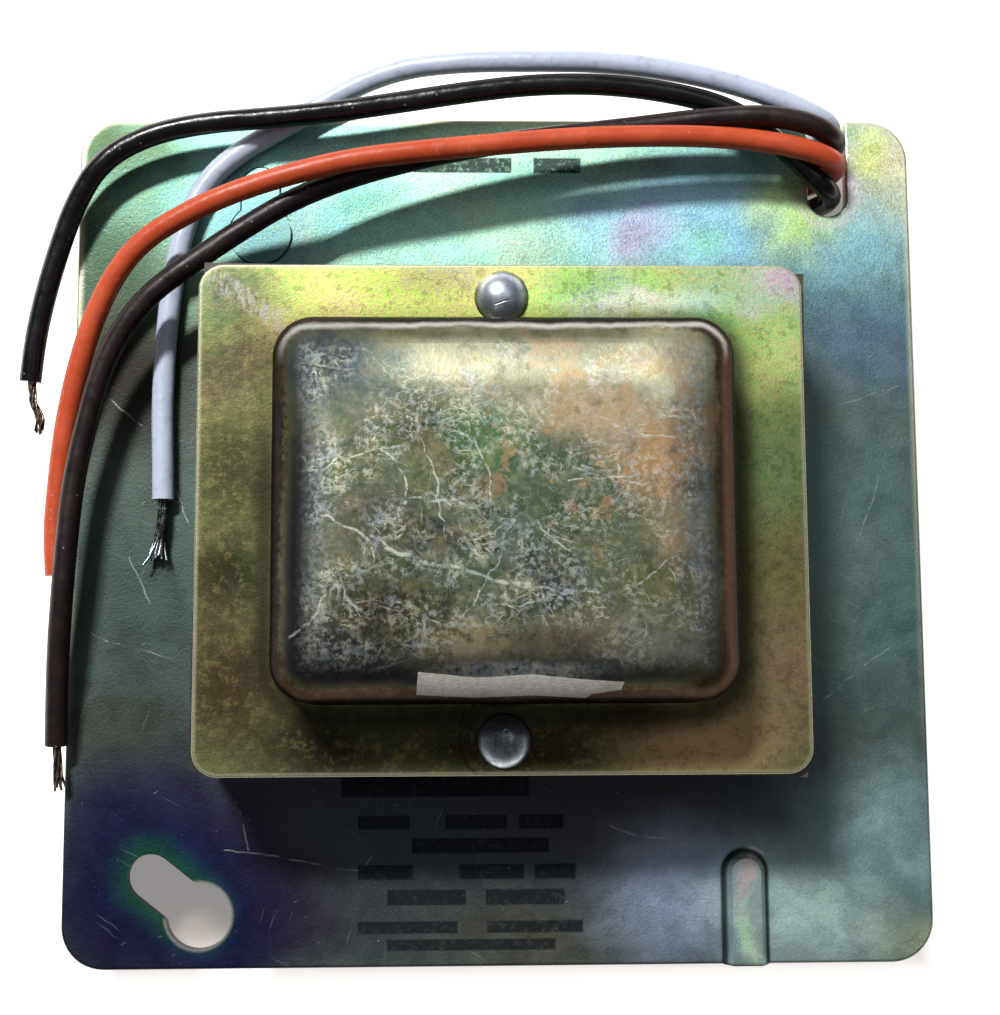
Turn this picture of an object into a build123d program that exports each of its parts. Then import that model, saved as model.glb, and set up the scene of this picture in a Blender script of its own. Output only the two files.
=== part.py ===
from build123d import *
from math import atan, degrees, pi, radians, tan
import os

# Plate-mounted Class 2 control transformer: a square box-cover plate carries an
# E-I core on its front, a drawn can with a flat flange closes the front of the
# coil, two rivets go through flange, core and plate, and four leads come up
# through the open notch of the plate. Millimetres. The origin is the centre of
# the plate's back face, which seats on the outlet box, and +Z points out of the
# box, towards the can.

# Mounting plate
plate_side = 101.6
plate_thickness = 1.6
plate_corner = 5.0
plate_roll = 0.35
opening_clearance = 0.9
opening_corner = 2.0

# Open notch for a cover screw, used here by the leads
notch_side_inset = 10.1
notch_edge_inset = 9.7
notch_width = 4.7

# Open keyhole of the other cover screw
key_slot_side_inset = 10.2
key_slot_edge_inset = 10.4
key_slot_width = 5.4
key_head_side_inset = 15.8
key_head_edge_inset = 6.0
key_head_diameter = 7.6

# Raised rib that runs out at the plate's lower edge
rib_side_inset = 22.2
rib_width = 5.35
rib_length = 13.2
rib_rise = 1.5
rib_slope = 1.0
rib_wall = 0.7

# Knockout in the shape of a keyhole, sheared half way and still in its place
knockout_side_inset = 22.0
knockout_edge_inset = 8.6
knockout_slot_width = 4.5
knockout_run = 6.0
knockout_head_diameter = 7.4
knockout_lift = 0.3
knockout_groove_width = 0.25
knockout_groove_depth = 0.5

# E-I core. The tongue sets the whole lamination, as in every scrapless E-I pair.
tongue_width = 22.23
leg_width = tongue_width / 2
window_width = tongue_width / 2
window_length = 1.5 * tongue_width
core_width = tongue_width + 2 * window_width + 2 * leg_width
core_length = window_length + 2 * leg_width
stack_height = 15.9
packet_count = 17
packet_gap = 0.03
core_skew = -1.0

# Rivets
rivet_edge_inset = 3.54
rivet_diameter = 4.0
rivet_hole_clearance = 0.3
core_hole_clearance = 0.9
rivet_head_diameter = 6.0
rivet_head_height = 2.1
rivet_tail_diameter = 6.4
rivet_tail_height = 1.3

# Coil
bobbin_clearance = 0.15
bobbin_wall = 1.0
bobbin_flange = 0.85
bobbin_end_clearance = 0.22
bobbin_side_clearance = 0.27
bobbin_corner = 2.3
primary_build = 4.0
insulation_thickness = 0.35
secondary_build = 3.6
wrap_thickness = 0.5
lead_slot_clearance = 0.2

# Can
sheet = 0.9
flange_overhang = 0.16
flange_corner = 2.8
can_side_clearance = 0.69
can_end_clearance = 2.7
can_corner = 4.3
can_top_radius = 3.5
can_foot_radius = 1.1
can_clearance = 0.3
flange_roll = 0.25
liner_thickness = 0.3
liner_side_clearance = 0.3
liner_length = 28.6
liner_foot_gap = 0.4

# Scrap of a torn paper label on the can
scrap_thickness = 0.15
scrap_outline = [  # across from the middle, in from the can's lower edge
    (-8.9, 3.15),
    (-3.0, 2.55),
    (2.6, 2.85),
    (7.4, 2.35),
    (11.8, 2.05),
    (11.5, 1.25),
    (8.6, 0.85),
    (8.0, 0.45),
    (2.8, 0.75),
    (-3.1, 0.55),
    (-9.1, 0.85),
]

# Leads, No. 18 stranded, with plain ends
lead_diameter = 2.6
lead_level = -5.6
strand_diameter = 1.2
strand_end_diameter = 2.0
strand_length_white = 8.2
strand_length_black = 7.2
strand_length_orange = 6.0
strand_length_brown = 5.4

# Heights that follow
core_base = plate_thickness
core_top = core_base + stack_height
core_middle = core_base + stack_height / 2
flange_top = core_top + sheet
packet_pitch = stack_height / packet_count
packet_thickness = packet_pitch - packet_gap
rivet_y = core_length / 2 - rivet_edge_inset
flange_width = core_width
flange_length = core_length + 2 * flange_overhang

# Coil sizes that follow, as half widths (X) and half heights (Z) about the core's middle
tube_inner_x = tongue_width / 2 + bobbin_clearance
tube_inner_z = stack_height / 2 + bobbin_clearance
tube_outer_x = tube_inner_x + bobbin_wall
tube_outer_z = tube_inner_z + bobbin_wall
bobbin_rise = window_width - bobbin_side_clearance - bobbin_clearance - bobbin_wall
bobbin_half_x = tube_outer_x + bobbin_rise
bobbin_half_z = tube_outer_z + bobbin_rise
bobbin_half_y = window_length / 2 - bobbin_end_clearance
winding_half_y = bobbin_half_y - bobbin_flange
insulation_start = primary_build
secondary_start = insulation_start + insulation_thickness
wrap_start = secondary_start + secondary_build
coil_top = core_middle + bobbin_half_z
liner_top = coil_top + liner_thickness
liner_half_x = bobbin_half_x + liner_side_clearance + liner_thickness
can_top = liner_top + can_clearance + sheet
can_width = 2 * (liner_half_x + can_side_clearance + sheet)
can_length = 2 * (bobbin_half_y + can_end_clearance + sheet)

# The core and all that sits on its tongue are turned a little on the plate, by the
# play of the rivets in their holes.
core_plane = Plane(
    origin=(0, 0, core_base),
    x_dir=Vector(1, 0, 0).rotate(Axis.Z, core_skew),
    z_dir=(0, 0, 1),
)
# Seen from the plate's upper edge, so that its Y is up and its Z runs down the plate.
coil_plane = Plane(
    origin=(0, 0, core_middle),
    x_dir=core_plane.x_dir,
    z_dir=-core_plane.y_dir,
)


def ring(outer_build, inner_build):
    """Closed winding form round the bobbin's tube, between two heights above it."""
    outer_x = 2 * (tube_outer_x + outer_build)
    outer_z = 2 * (tube_outer_z + outer_build)
    inner_x = 2 * (tube_outer_x + inner_build)
    inner_z = 2 * (tube_outer_z + inner_build)
    with BuildPart() as form:
        with BuildSketch(coil_plane.offset(-winding_half_y)):
            RectangleRounded(outer_x, outer_z, bobbin_wall + outer_build)
            RectangleRounded(inner_x, inner_z, bobbin_wall + inner_build, mode=Mode.SUBTRACT)
        extrude(amount=2 * winding_half_y)
    return form


# Mounting plate
opening_width = 2 * (bobbin_half_x + opening_clearance)
opening_length = 2 * (bobbin_half_y + opening_clearance)
plate_edge = plate_side / 2
notch_x = plate_edge - notch_side_inset
notch_y = plate_edge - notch_edge_inset
notch_run = notch_edge_inset
key_slot_x = key_slot_side_inset - plate_edge
key_slot_y = key_slot_edge_inset - plate_edge
key_head_x = key_head_side_inset - plate_edge
key_head_y = key_head_edge_inset - plate_edge
rib_x = plate_edge - rib_side_inset
rib_round_y = -plate_edge + rib_length - rib_width / 2
rib_run = rib_length + rib_width
rib_taper = degrees(atan(rib_slope / rib_rise))
key_slot_angle = degrees(atan((key_head_y - key_slot_y) / (key_head_x - key_slot_x)))
key_slot_run = ((key_head_x - key_slot_x) ** 2 + (key_head_y - key_slot_y) ** 2) ** 0.5
key_slot_middle = ((key_slot_x + key_head_x) / 2, (key_slot_y + key_head_y) / 2)
knockout_x = knockout_side_inset - plate_edge
knockout_slot_y = plate_edge - knockout_edge_inset
knockout_head_y = knockout_slot_y - knockout_run
knockout_middle_y = (knockout_slot_y + knockout_head_y) / 2

with BuildPart() as mounting_plate:
    with BuildSketch():
        RectangleRounded(plate_side, plate_side, plate_corner)
        RectangleRounded(opening_width, opening_length, opening_corner, mode=Mode.SUBTRACT)
        with Locations((notch_x, notch_y)):
            Circle(notch_width / 2, mode=Mode.SUBTRACT)
        with Locations((notch_x, notch_y + notch_run / 2 + plate_roll)):
            Rectangle(notch_width, notch_run + 2 * plate_roll, mode=Mode.SUBTRACT)
        with Locations((key_slot_x, key_slot_y)):
            Circle(key_slot_width / 2, mode=Mode.SUBTRACT)
        with Locations((key_head_x, key_head_y)):
            Circle(key_head_diameter / 2, mode=Mode.SUBTRACT)
        with Locations(key_slot_middle):
            Rectangle(key_slot_run, key_slot_width, rotation=key_slot_angle, mode=Mode.SUBTRACT)
    extrude(amount=plate_thickness)
    front_edges = mounting_plate.faces().sort_by(Axis.Z)[-1].outer_wire().edges()
    fillet(front_edges, plate_roll)
    # Raised rib: drawn up from the sheet, so it is hollow behind, and open at the
    # plate's lower edge
    with BuildSketch(Plane.XY.offset(plate_thickness)):
        with Locations((rib_x, rib_round_y)):
            Circle(rib_width / 2)
        with Locations((rib_x, rib_round_y - rib_run / 2)):
            Rectangle(rib_width, rib_run)
    extrude(amount=rib_rise, taper=rib_taper)
    with BuildSketch():
        with Locations((rib_x, rib_round_y)):
            Circle(rib_width / 2 - rib_wall)
        with Locations((rib_x, rib_round_y - rib_run / 2)):
            Rectangle(rib_width - 2 * rib_wall, rib_run)
    extrude(amount=rib_rise, taper=rib_taper / 2, mode=Mode.SUBTRACT)
    split(bisect_by=Plane.XZ.offset(plate_edge), keep=Keep.BOTTOM)
    # Knockout: the groove of the shear, then the slug standing a little proud
    with BuildSketch(Plane.XY.offset(plate_thickness)) as knockout_groove:
        with Locations((knockout_x, knockout_slot_y)):
            Circle(knockout_slot_width / 2 + knockout_groove_width)
        with Locations((knockout_x, knockout_head_y)):
            Circle(knockout_head_diameter / 2 + knockout_groove_width)
        with Locations((knockout_x, knockout_middle_y)):
            Rectangle(knockout_slot_width + 2 * knockout_groove_width, knockout_run)
    extrude(amount=-knockout_groove_depth, mode=Mode.SUBTRACT)
    with BuildSketch(Plane.XY.offset(plate_thickness - knockout_groove_depth)) as knockout_slug:
        with Locations((knockout_x, knockout_slot_y)):
            Circle(knockout_slot_width / 2)
        with Locations((knockout_x, knockout_head_y)):
            Circle(knockout_head_diameter / 2)
        with Locations((knockout_x, knockout_middle_y)):
            Rectangle(knockout_slot_width, knockout_run)
    extrude(amount=knockout_groove_depth + knockout_lift)
    # Rivet holes
    with Locations((0, rivet_y, plate_thickness), (0, -rivet_y, plate_thickness)):
        Hole((rivet_diameter + rivet_hole_clearance) / 2, depth=plate_thickness)
mounting_plate.part.label = "mounting_plate"

# Core packets: the E's yoke changes end from packet to packet, and the I closes the
# other end
with BuildPart() as e_laminations:
    for packet in range(packet_count):
        end = -1 if packet % 2 == 0 else 1
        with BuildSketch(core_plane.offset(packet * packet_pitch)):
            with Locations((0, end * (window_length + leg_width) / 2)):
                Rectangle(core_width, leg_width)
            Rectangle(tongue_width, window_length)
            with GridLocations(core_width - leg_width, 1, 2, 1):
                Rectangle(leg_width, window_length)
            with Locations((0, end * rivet_y)):
                Circle((rivet_diameter + core_hole_clearance) / 2, mode=Mode.SUBTRACT)
        extrude(amount=packet_thickness)
e_laminations.part.label = "e_laminations"

with BuildPart() as i_laminations:
    for packet in range(packet_count):
        end = 1 if packet % 2 == 0 else -1
        with BuildSketch(core_plane.offset(packet * packet_pitch)):
            with Locations((0, end * (window_length + leg_width) / 2)):
                Rectangle(core_width, leg_width)
            with Locations((0, end * rivet_y)):
                Circle((rivet_diameter + core_hole_clearance) / 2, mode=Mode.SUBTRACT)
        extrude(amount=packet_thickness)
i_laminations.part.label = "i_laminations"

# Bobbin: a tube round the tongue with a flange at each end, and four slots in the
# upper flange's back edge for the leads
lead_seats = (6.0, 10.0, 14.0, 18.0)
lead_drop = core_middle - lead_level
slot_width = lead_diameter + lead_slot_clearance
with BuildPart() as coil_bobbin:
    with BuildSketch(coil_plane.offset(-bobbin_half_y)):
        RectangleRounded(2 * tube_outer_x, 2 * tube_outer_z, bobbin_wall)
    extrude(amount=2 * bobbin_half_y)
    with BuildSketch(coil_plane.offset(-bobbin_half_y)):
        RectangleRounded(2 * bobbin_half_x, 2 * bobbin_half_z, bobbin_corner)
    extrude(amount=bobbin_flange)
    with BuildSketch(coil_plane.offset(winding_half_y)):
        RectangleRounded(2 * bobbin_half_x, 2 * bobbin_half_z, bobbin_corner)
    extrude(amount=bobbin_flange)
    with BuildSketch(coil_plane.offset(-bobbin_half_y)):
        Rectangle(2 * tube_inner_x, 2 * tube_inner_z)
    extrude(amount=2 * bobbin_half_y, mode=Mode.SUBTRACT)
    with BuildSketch(coil_plane.offset(-bobbin_half_y)):
        for seat in lead_seats:
            with Locations((seat, -lead_drop)):
                Circle(slot_width / 2)
            with Locations((seat, -(lead_drop + bobbin_half_z) / 2)):
                Rectangle(slot_width, bobbin_half_z - lead_drop)
    extrude(amount=bobbin_flange, mode=Mode.SUBTRACT)
coil_bobbin.part.label = "coil_bobbin"

primary_winding = ring(primary_build, 0)
primary_winding.part.label = "primary_winding"
winding_insulation = ring(secondary_start, insulation_start)
winding_insulation.part.label = "winding_insulation"
secondary_winding = ring(wrap_start, secondary_start)
secondary_winding.part.label = "secondary_winding"
coil_wrap = ring(wrap_start + wrap_thickness, wrap_start)
coil_wrap.part.label = "coil_wrap"

# Can: flange and drawn cup in one sheet
with BuildPart() as cup_space:
    with BuildSketch(Plane.XY.offset(core_top)):
        RectangleRounded(can_width - 2 * sheet, can_length - 2 * sheet, can_corner - sheet)
    extrude(amount=can_top - sheet - core_top)
    fillet(cup_space.faces().sort_by(Axis.Z)[-1].edges(), can_top_radius - sheet)

with BuildPart() as can_cover:
    with BuildSketch(Plane.XY.offset(core_top)):
        RectangleRounded(flange_width, flange_length, flange_corner)
    extrude(amount=sheet)
    fillet(can_cover.faces().sort_by(Axis.Z)[-1].edges(), flange_roll)
    with BuildSketch(Plane.XY.offset(core_top)):
        RectangleRounded(can_width, can_length, can_corner)
    extrude(amount=can_top - core_top)
    fillet(can_cover.faces().sort_by(Axis.Z)[-1].edges(), can_top_radius)
    flange_faces = can_cover.faces().filter_by(Axis.Z)
    flange_face = flange_faces.filter_by_position(Axis.Z, flange_top - 0.01, flange_top + 0.01)[0]
    fillet(flange_face.inner_wires()[0].edges(), can_foot_radius)
    add(cup_space.part, mode=Mode.SUBTRACT)
    with Locations((0, rivet_y, flange_top), (0, -rivet_y, flange_top)):
        Hole((rivet_diameter + rivet_hole_clearance) / 2, depth=sheet)
can_cover.part.label = "can_cover"

# Liner: a folded sheet of insulation between the coil and the can
liner_peak = liner_top - core_middle
liner_foot = core_top + liner_foot_gap - core_middle
liner_bend = can_top_radius - sheet
with BuildPart() as can_liner:
    with BuildSketch(coil_plane.offset(-liner_length / 2)) as liner_outside:
        with Locations((0, (liner_foot + liner_peak) / 2)):
            Rectangle(2 * liner_half_x, liner_peak - liner_foot)
        fillet(liner_outside.vertices().group_by(Axis.Y)[-1], liner_bend)
    extrude(amount=liner_length)
    with BuildSketch(coil_plane.offset(-liner_length / 2)) as liner_inside:
        with Locations((0, (liner_foot + liner_peak - liner_thickness) / 2)):
            Rectangle(2 * (liner_half_x - liner_thickness), liner_peak - liner_thickness - liner_foot)
        fillet(liner_inside.vertices().group_by(Axis.Y)[-1], liner_bend - liner_thickness)
    extrude(amount=liner_length, mode=Mode.SUBTRACT)
can_liner.part.label = "can_liner"


def rivet(y):
    """Domed rivet through flange, core and plate, with its upset tail behind the plate."""
    half_head = rivet_head_diameter / 2
    half_tail = rivet_tail_diameter / 2
    half_shank = rivet_diameter / 2
    dome_radius = (half_head**2 + rivet_head_height**2) / (2 * rivet_head_height)
    dome_x = 0.6 * half_head
    dome_z = flange_top + rivet_head_height - dome_radius + (dome_radius**2 - dome_x**2) ** 0.5
    with BuildPart() as turned:
        with BuildSketch(Plane.XZ.offset(-y)):
            with BuildLine():
                Line((0, -rivet_tail_height), (half_tail - 0.5, -rivet_tail_height))
                Line((half_tail - 0.5, -rivet_tail_height), (half_tail, -rivet_tail_height / 2))
                Line((half_tail, -rivet_tail_height / 2), (half_tail, 0))
                Line((half_tail, 0), (half_shank, 0))
                Line((half_shank, 0), (half_shank, flange_top))
                Line((half_shank, flange_top), (half_head, flange_top))
                ThreePointArc(
                    (half_head, flange_top),
                    (dome_x, dome_z),
                    (0, flange_top + rivet_head_height),
                )
                Line((0, flange_top + rivet_head_height), (0, -rivet_tail_height))
            make_face()
        revolve(axis=Axis((0, y, 0), (0, 0, 1)))
    return turned


rivet_top = rivet(rivet_y)
rivet_top.part.label = "rivet_top"
rivet_bottom = rivet(-rivet_y)
rivet_bottom.part.label = "rivet_bottom"

# Scrap of paper left of a torn label, stuck over the can's lower top edge
with BuildPart() as scrap_skin:
    with BuildSketch(Plane.XY.offset(can_top - can_top_radius)):
        RectangleRounded(
            can_width + 2 * scrap_thickness,
            can_length + 2 * scrap_thickness,
            can_corner + scrap_thickness,
        )
    extrude(amount=can_top_radius + scrap_thickness)
    fillet(scrap_skin.faces().sort_by(Axis.Z)[-1].edges(), can_top_radius + scrap_thickness - 0.01)

scrap_points = [(across, inset - can_length / 2) for across, inset in scrap_outline]
with BuildPart() as label_scrap:
    with BuildSketch(Plane.XY.offset(can_top - can_top_radius + 0.6)):
        with BuildLine():
            Polyline(*scrap_points, close=True)
        make_face()
    extrude(amount=can_top_radius)
    add(scrap_skin.part, mode=Mode.INTERSECT)
    add(can_cover.part, mode=Mode.SUBTRACT)
    add(cup_space.part, mode=Mode.SUBTRACT)
label_scrap.part.label = "label_scrap"


def seat_point(seat, way):
    """Point on a lead's first straight run, in the core's turned frame."""
    point = core_plane.from_local_coords(Vector(seat, winding_half_y + way, lead_level - core_base))
    return (point.X, point.Y, point.Z)


def bend_radii(points):
    """Radius of each bend: 0.45 of the shorter run over the tangent of half the turn."""
    radii = []
    for before, corner, after in zip(points, points[1:], points[2:]):
        arriving = Vector(*corner) - Vector(*before)
        leaving = Vector(*after) - Vector(*corner)
        half_turn = radians(arriving.get_angle(leaving)) / 2
        radii.append(0.45 * min(arriving.length, leaving.length) / tan(half_turn))
    return radii


def lead(points):
    """Insulated lead: a plain tube along straight runs joined by tangent arcs."""
    radii = bend_radii(points)
    with BuildPart() as tube:
        with BuildLine() as route:
            FilletPolyline(*points, radius=radii)
        line = route.wire()
        with BuildSketch(Plane(origin=line @ 0, z_dir=line % 0)):
            Circle(lead_diameter / 2)
        sweep(path=line)
    print("bends", [round(radius, 1) for radius in radii])
    section = pi * lead_diameter**2 / 4
    print("length", round(line.length, 1), "volume", round(tube.part.volume, 1))
    print("section x length", round(section * line.length, 1))
    return tube


def strands(points, length):
    """Bare end of a lead: its strands, spreading a little, as one plain solid."""
    end = Vector(*points[-1])
    with BuildPart() as bundle:
        with BuildSketch(Plane(origin=end, z_dir=end - Vector(*points[-2]))):
            Circle(strand_diameter / 2)
        with BuildSketch(Plane(origin=end, z_dir=end - Vector(*points[-2])).offset(length)):
            Circle(strand_end_diameter / 2)
        loft()
    return bundle


# Leads. Each leaves the coil's upper end behind the plate, comes up through the open
# notch and lies back to the left over the plate. The points are the corners of its
# route.
black_points = [
    seat_point(lead_seats[3], 0),
    seat_point(lead_seats[3], 4.4),
    (19.4, 25.0, -5.5),
    (22.8, 30.5, -5.6),
    (27.6, 35.6, -5.6),
    (32.6, 39.3, -5.5),
    (37.0, 40.5, -4.7),
    (40.0, 40.8, -2.2),
    (41.1, 40.8, 0.9),
    (40.8, 41.0, 3.2),
    (39.2, 41.9, 4.6),
    (36.6, 44.3, 5.0),
    (33.0, 47.8, 5.0),
    (28.2, 51.0, 5.4),
    (21.6, 52.7, 5.8),
    (13.1, 53.7, 6.0),
    (4.5, 53.6, 6.0),
    (-3.5, 52.6, 6.0),
    (-11.7, 51.3, 5.9),
    (-19.5, 50.1, 5.9),
    (-27.5, 49.3, 5.8),
    (-35.0, 48.7, 5.8),
    (-41.9, 47.2, 5.7),
    (-47.4, 44.1, 5.3),
    (-50.5, 39.1, 4.6),
    (-52.7, 33.0, 3.8),
    (-54.4, 27.0, 3.2),
    (-55.4, 21.9, 2.8),
    (-55.8, 17.8, 2.5),
]
orange_points = [
    seat_point(lead_seats[2], 0),
    seat_point(lead_seats[2], 5.2),
    (15.8, 26.8, -5.7),
    (20.2, 33.2, -5.6),
    (26.2, 39.2, -5.6),
    (32.2, 42.8, -5.5),
    (37.0, 43.8, -4.7),
    (40.0, 44.0, -2.2),
    (41.2, 44.0, 1.2),
    (41.3, 44.0, 4.4),
    (40.2, 44.1, 6.8),
    (37.2, 44.9, 7.9),
    (31.9, 46.0, 7.9),
    (24.2, 46.4, 8.4),
    (15.6, 46.1, 9.1),
    (7.2, 45.5, 9.6),
    (-1.0, 44.6, 10.1),
    (-9.4, 43.5, 10.9),
    (-17.3, 42.4, 11.2),
    (-24.9, 40.5, 11.0),
    (-31.5, 38.5, 10.3),
    (-37.1, 36.1, 9.4),
    (-41.9, 33.2, 8.6),
    (-45.3, 29.1, 7.6),
    (-48.0, 23.5, 6.4),
    (-50.0, 16.9, 5.2),
    (-51.3, 10.6, 4.2),
    (-52.0, 4.1, 3.5),
    (-52.4, -0.6, 3.0),
    (-52.0, -5.3, 3.0),
]
brown_points = [
    seat_point(lead_seats[1], 0),
    seat_point(lead_seats[1], 6.0),
    (12.2, 28.6, -5.5),
    (17.4, 35.8, -5.6),
    (24.6, 42.1, -5.6),
    (31.8, 45.6, -5.5),
    (37.0, 46.5, -4.7),
    (40.0, 46.7, -2.2),
    (41.2, 46.7, 1.2),
    (41.3, 46.8, 4.4),
    (40.3, 47.1, 6.8),
    (37.4, 48.2, 8.0),
    (32.2, 49.2, 8.0),
    (24.7, 48.9, 7.3),
    (16.1, 48.0, 6.6),
    (6.8, 46.8, 6.9),
    (-2.1, 45.4, 7.4),
    (-10.2, 43.5, 7.8),
    (-17.5, 41.3, 8.2),
    (-24.2, 38.4, 8.7),
    (-30.1, 34.5, 9.3),
    (-35.2, 30.8, 9.6),
    (-40.3, 27.2, 9.2),
    (-43.7, 23.1, 8.6),
    (-46.2, 18.2, 8.0),
    (-47.9, 11.8, 7.4),
    (-49.3, 5.4, 7.0),
    (-50.0, -2.1, 6.8),
    (-50.6, -10.1, 6.2),
    (-51.1, -17.5, 5.0),
    (-51.3, -25.0, 3.8),
]
white_points = [
    seat_point(lead_seats[0], 0),
    seat_point(lead_seats[0], 7.0),
    (8.6, 30.8, -5.7),
    (14.6, 38.6, -5.6),
    (23.0, 45.2, -5.6),
    (31.4, 48.4, -5.5),
    (37.0, 49.2, -4.7),
    (40.0, 49.4, -2.2),
    (41.2, 49.4, 1.2),
    (40.9, 49.4, 3.6),
    (39.2, 49.9, 5.2),
    (35.6, 51.6, 5.5),
    (29.0, 54.1, 5.0),
    (21.4, 55.8, 4.6),
    (12.6, 56.7, 4.2),
    (4.1, 56.8, 4.0),
    (-4.5, 56.7, 4.0),
    (-12.1, 56.1, 3.8),
    (-18.9, 53.5, 3.4),
    (-25.2, 49.6, 3.0),
    (-31.5, 46.0, 3.0),
    (-35.5, 42.1, 3.0),
    (-37.9, 36.5, 3.0),
    (-39.2, 28.9, 3.0),
    (-39.8, 21.6, 3.0),
    (-40.0, 14.3, 3.0),
    (-39.8, 8.8, 3.0),
    (-39.7, 3.6, 3.0),
]

lead_black = lead(black_points)
lead_black.part.label = "lead_black"
lead_orange = lead(orange_points)
lead_orange.part.label = "lead_orange"
lead_brown = lead(brown_points)
lead_brown.part.label = "lead_brown"
lead_white = lead(white_points)
lead_white.part.label = "lead_white"
strands_black = strands(black_points, strand_length_black)
strands_black.part.label = "strands_black"
strands_orange = strands(orange_points, strand_length_orange)
strands_orange.part.label = "strands_orange"
strands_brown = strands(brown_points, strand_length_brown)
strands_brown.part.label = "strands_brown"
strands_white = strands(white_points, strand_length_white)
strands_white.part.label = "strands_white"

os.makedirs("parts", exist_ok=True)
export_step(mounting_plate.part, "parts/mounting_plate.step")
export_step(e_laminations.part, "parts/e_laminations.step")
export_step(i_laminations.part, "parts/i_laminations.step")
export_step(coil_bobbin.part, "parts/coil_bobbin.step")
export_step(primary_winding.part, "parts/primary_winding.step")
export_step(winding_insulation.part, "parts/winding_insulation.step")
export_step(secondary_winding.part, "parts/secondary_winding.step")
export_step(coil_wrap.part, "parts/coil_wrap.step")
export_step(can_liner.part, "parts/can_liner.step")
export_step(can_cover.part, "parts/can_cover.step")
export_step(rivet_top.part, "parts/rivet_top.step")
export_step(rivet_bottom.part, "parts/rivet_bottom.step")
export_step(label_scrap.part, "parts/label_scrap.step")
export_step(lead_black.part, "parts/lead_black.step")
export_step(lead_orange.part, "parts/lead_orange.step")
export_step(lead_brown.part, "parts/lead_brown.step")
export_step(lead_white.part, "parts/lead_white.step")
export_step(strands_black.part, "parts/strands_black.step")
export_step(strands_orange.part, "parts/strands_orange.step")
export_step(strands_brown.part, "parts/strands_brown.step")
export_step(strands_white.part, "parts/strands_white.step")
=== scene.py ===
"""Finishes, leads, bare wire ends, floor and light for a control transformer on its square cover plate."""

import math
import random

import bpy
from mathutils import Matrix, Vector


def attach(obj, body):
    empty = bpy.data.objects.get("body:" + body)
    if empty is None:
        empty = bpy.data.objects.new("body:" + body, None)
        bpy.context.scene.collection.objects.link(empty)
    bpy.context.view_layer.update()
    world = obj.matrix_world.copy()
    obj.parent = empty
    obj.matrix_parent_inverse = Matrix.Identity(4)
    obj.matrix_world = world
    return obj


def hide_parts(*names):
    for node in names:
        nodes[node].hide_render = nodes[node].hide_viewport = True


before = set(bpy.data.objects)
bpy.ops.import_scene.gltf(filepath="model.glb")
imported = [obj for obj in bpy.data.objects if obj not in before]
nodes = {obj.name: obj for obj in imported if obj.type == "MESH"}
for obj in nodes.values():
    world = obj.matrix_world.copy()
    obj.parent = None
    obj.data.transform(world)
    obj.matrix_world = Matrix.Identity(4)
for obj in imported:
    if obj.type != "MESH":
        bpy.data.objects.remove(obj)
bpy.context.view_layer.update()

MM = 0.001
ORIGIN = (0.0, 0.0, 0.0)

plate_half = 50.8
plate_corner = 5.0
plate_top = 1.6
rib_x = 28.6
rib_half = 2.675
rib_round_y = -40.275
flange_half_x = 33.35
flange_half_y = 27.95
flange_corner = 2.8
flange_top = 18.4
can_half_x = 24.15
can_half_y = 20.05
can_corner = 4.3
lead_diameter = 2.6
strand_radius = 0.15
floor_level = -9.245

plate_outline = {"Half_size": (plate_half, plate_half, 0.0), "Corner": plate_corner}
flange_outline = {"Half_size": (flange_half_x, flange_half_y, 0.0), "Corner": flange_corner}
can_outline = {"Half_size": (can_half_x, can_half_y, 0.0), "Corner": can_corner}
keyhole_run = ((-41.2, -39.8, 0.0), (-35.4, -44.4, 0.0))
focal_length = 54.62
camera_place = (-0.004951, -0.017504, 0.184867)
camera_turn = (6.309, -1.570, -0.294)
burred_holes = (((-35.0, -44.8, 0.0), 3.8), ((40.7, 41.1, 0.0), 2.5))


def shade(red, green, blue):
    """Linear colour with alpha for an 8-bit screen colour."""
    channels = []
    for value in (red, green, blue):
        value = value / 255
        channels.append(value / 12.92 if value <= 0.04045 else ((value + 0.055) / 1.055) ** 2.4)
    return (*channels, 1.0)


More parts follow.
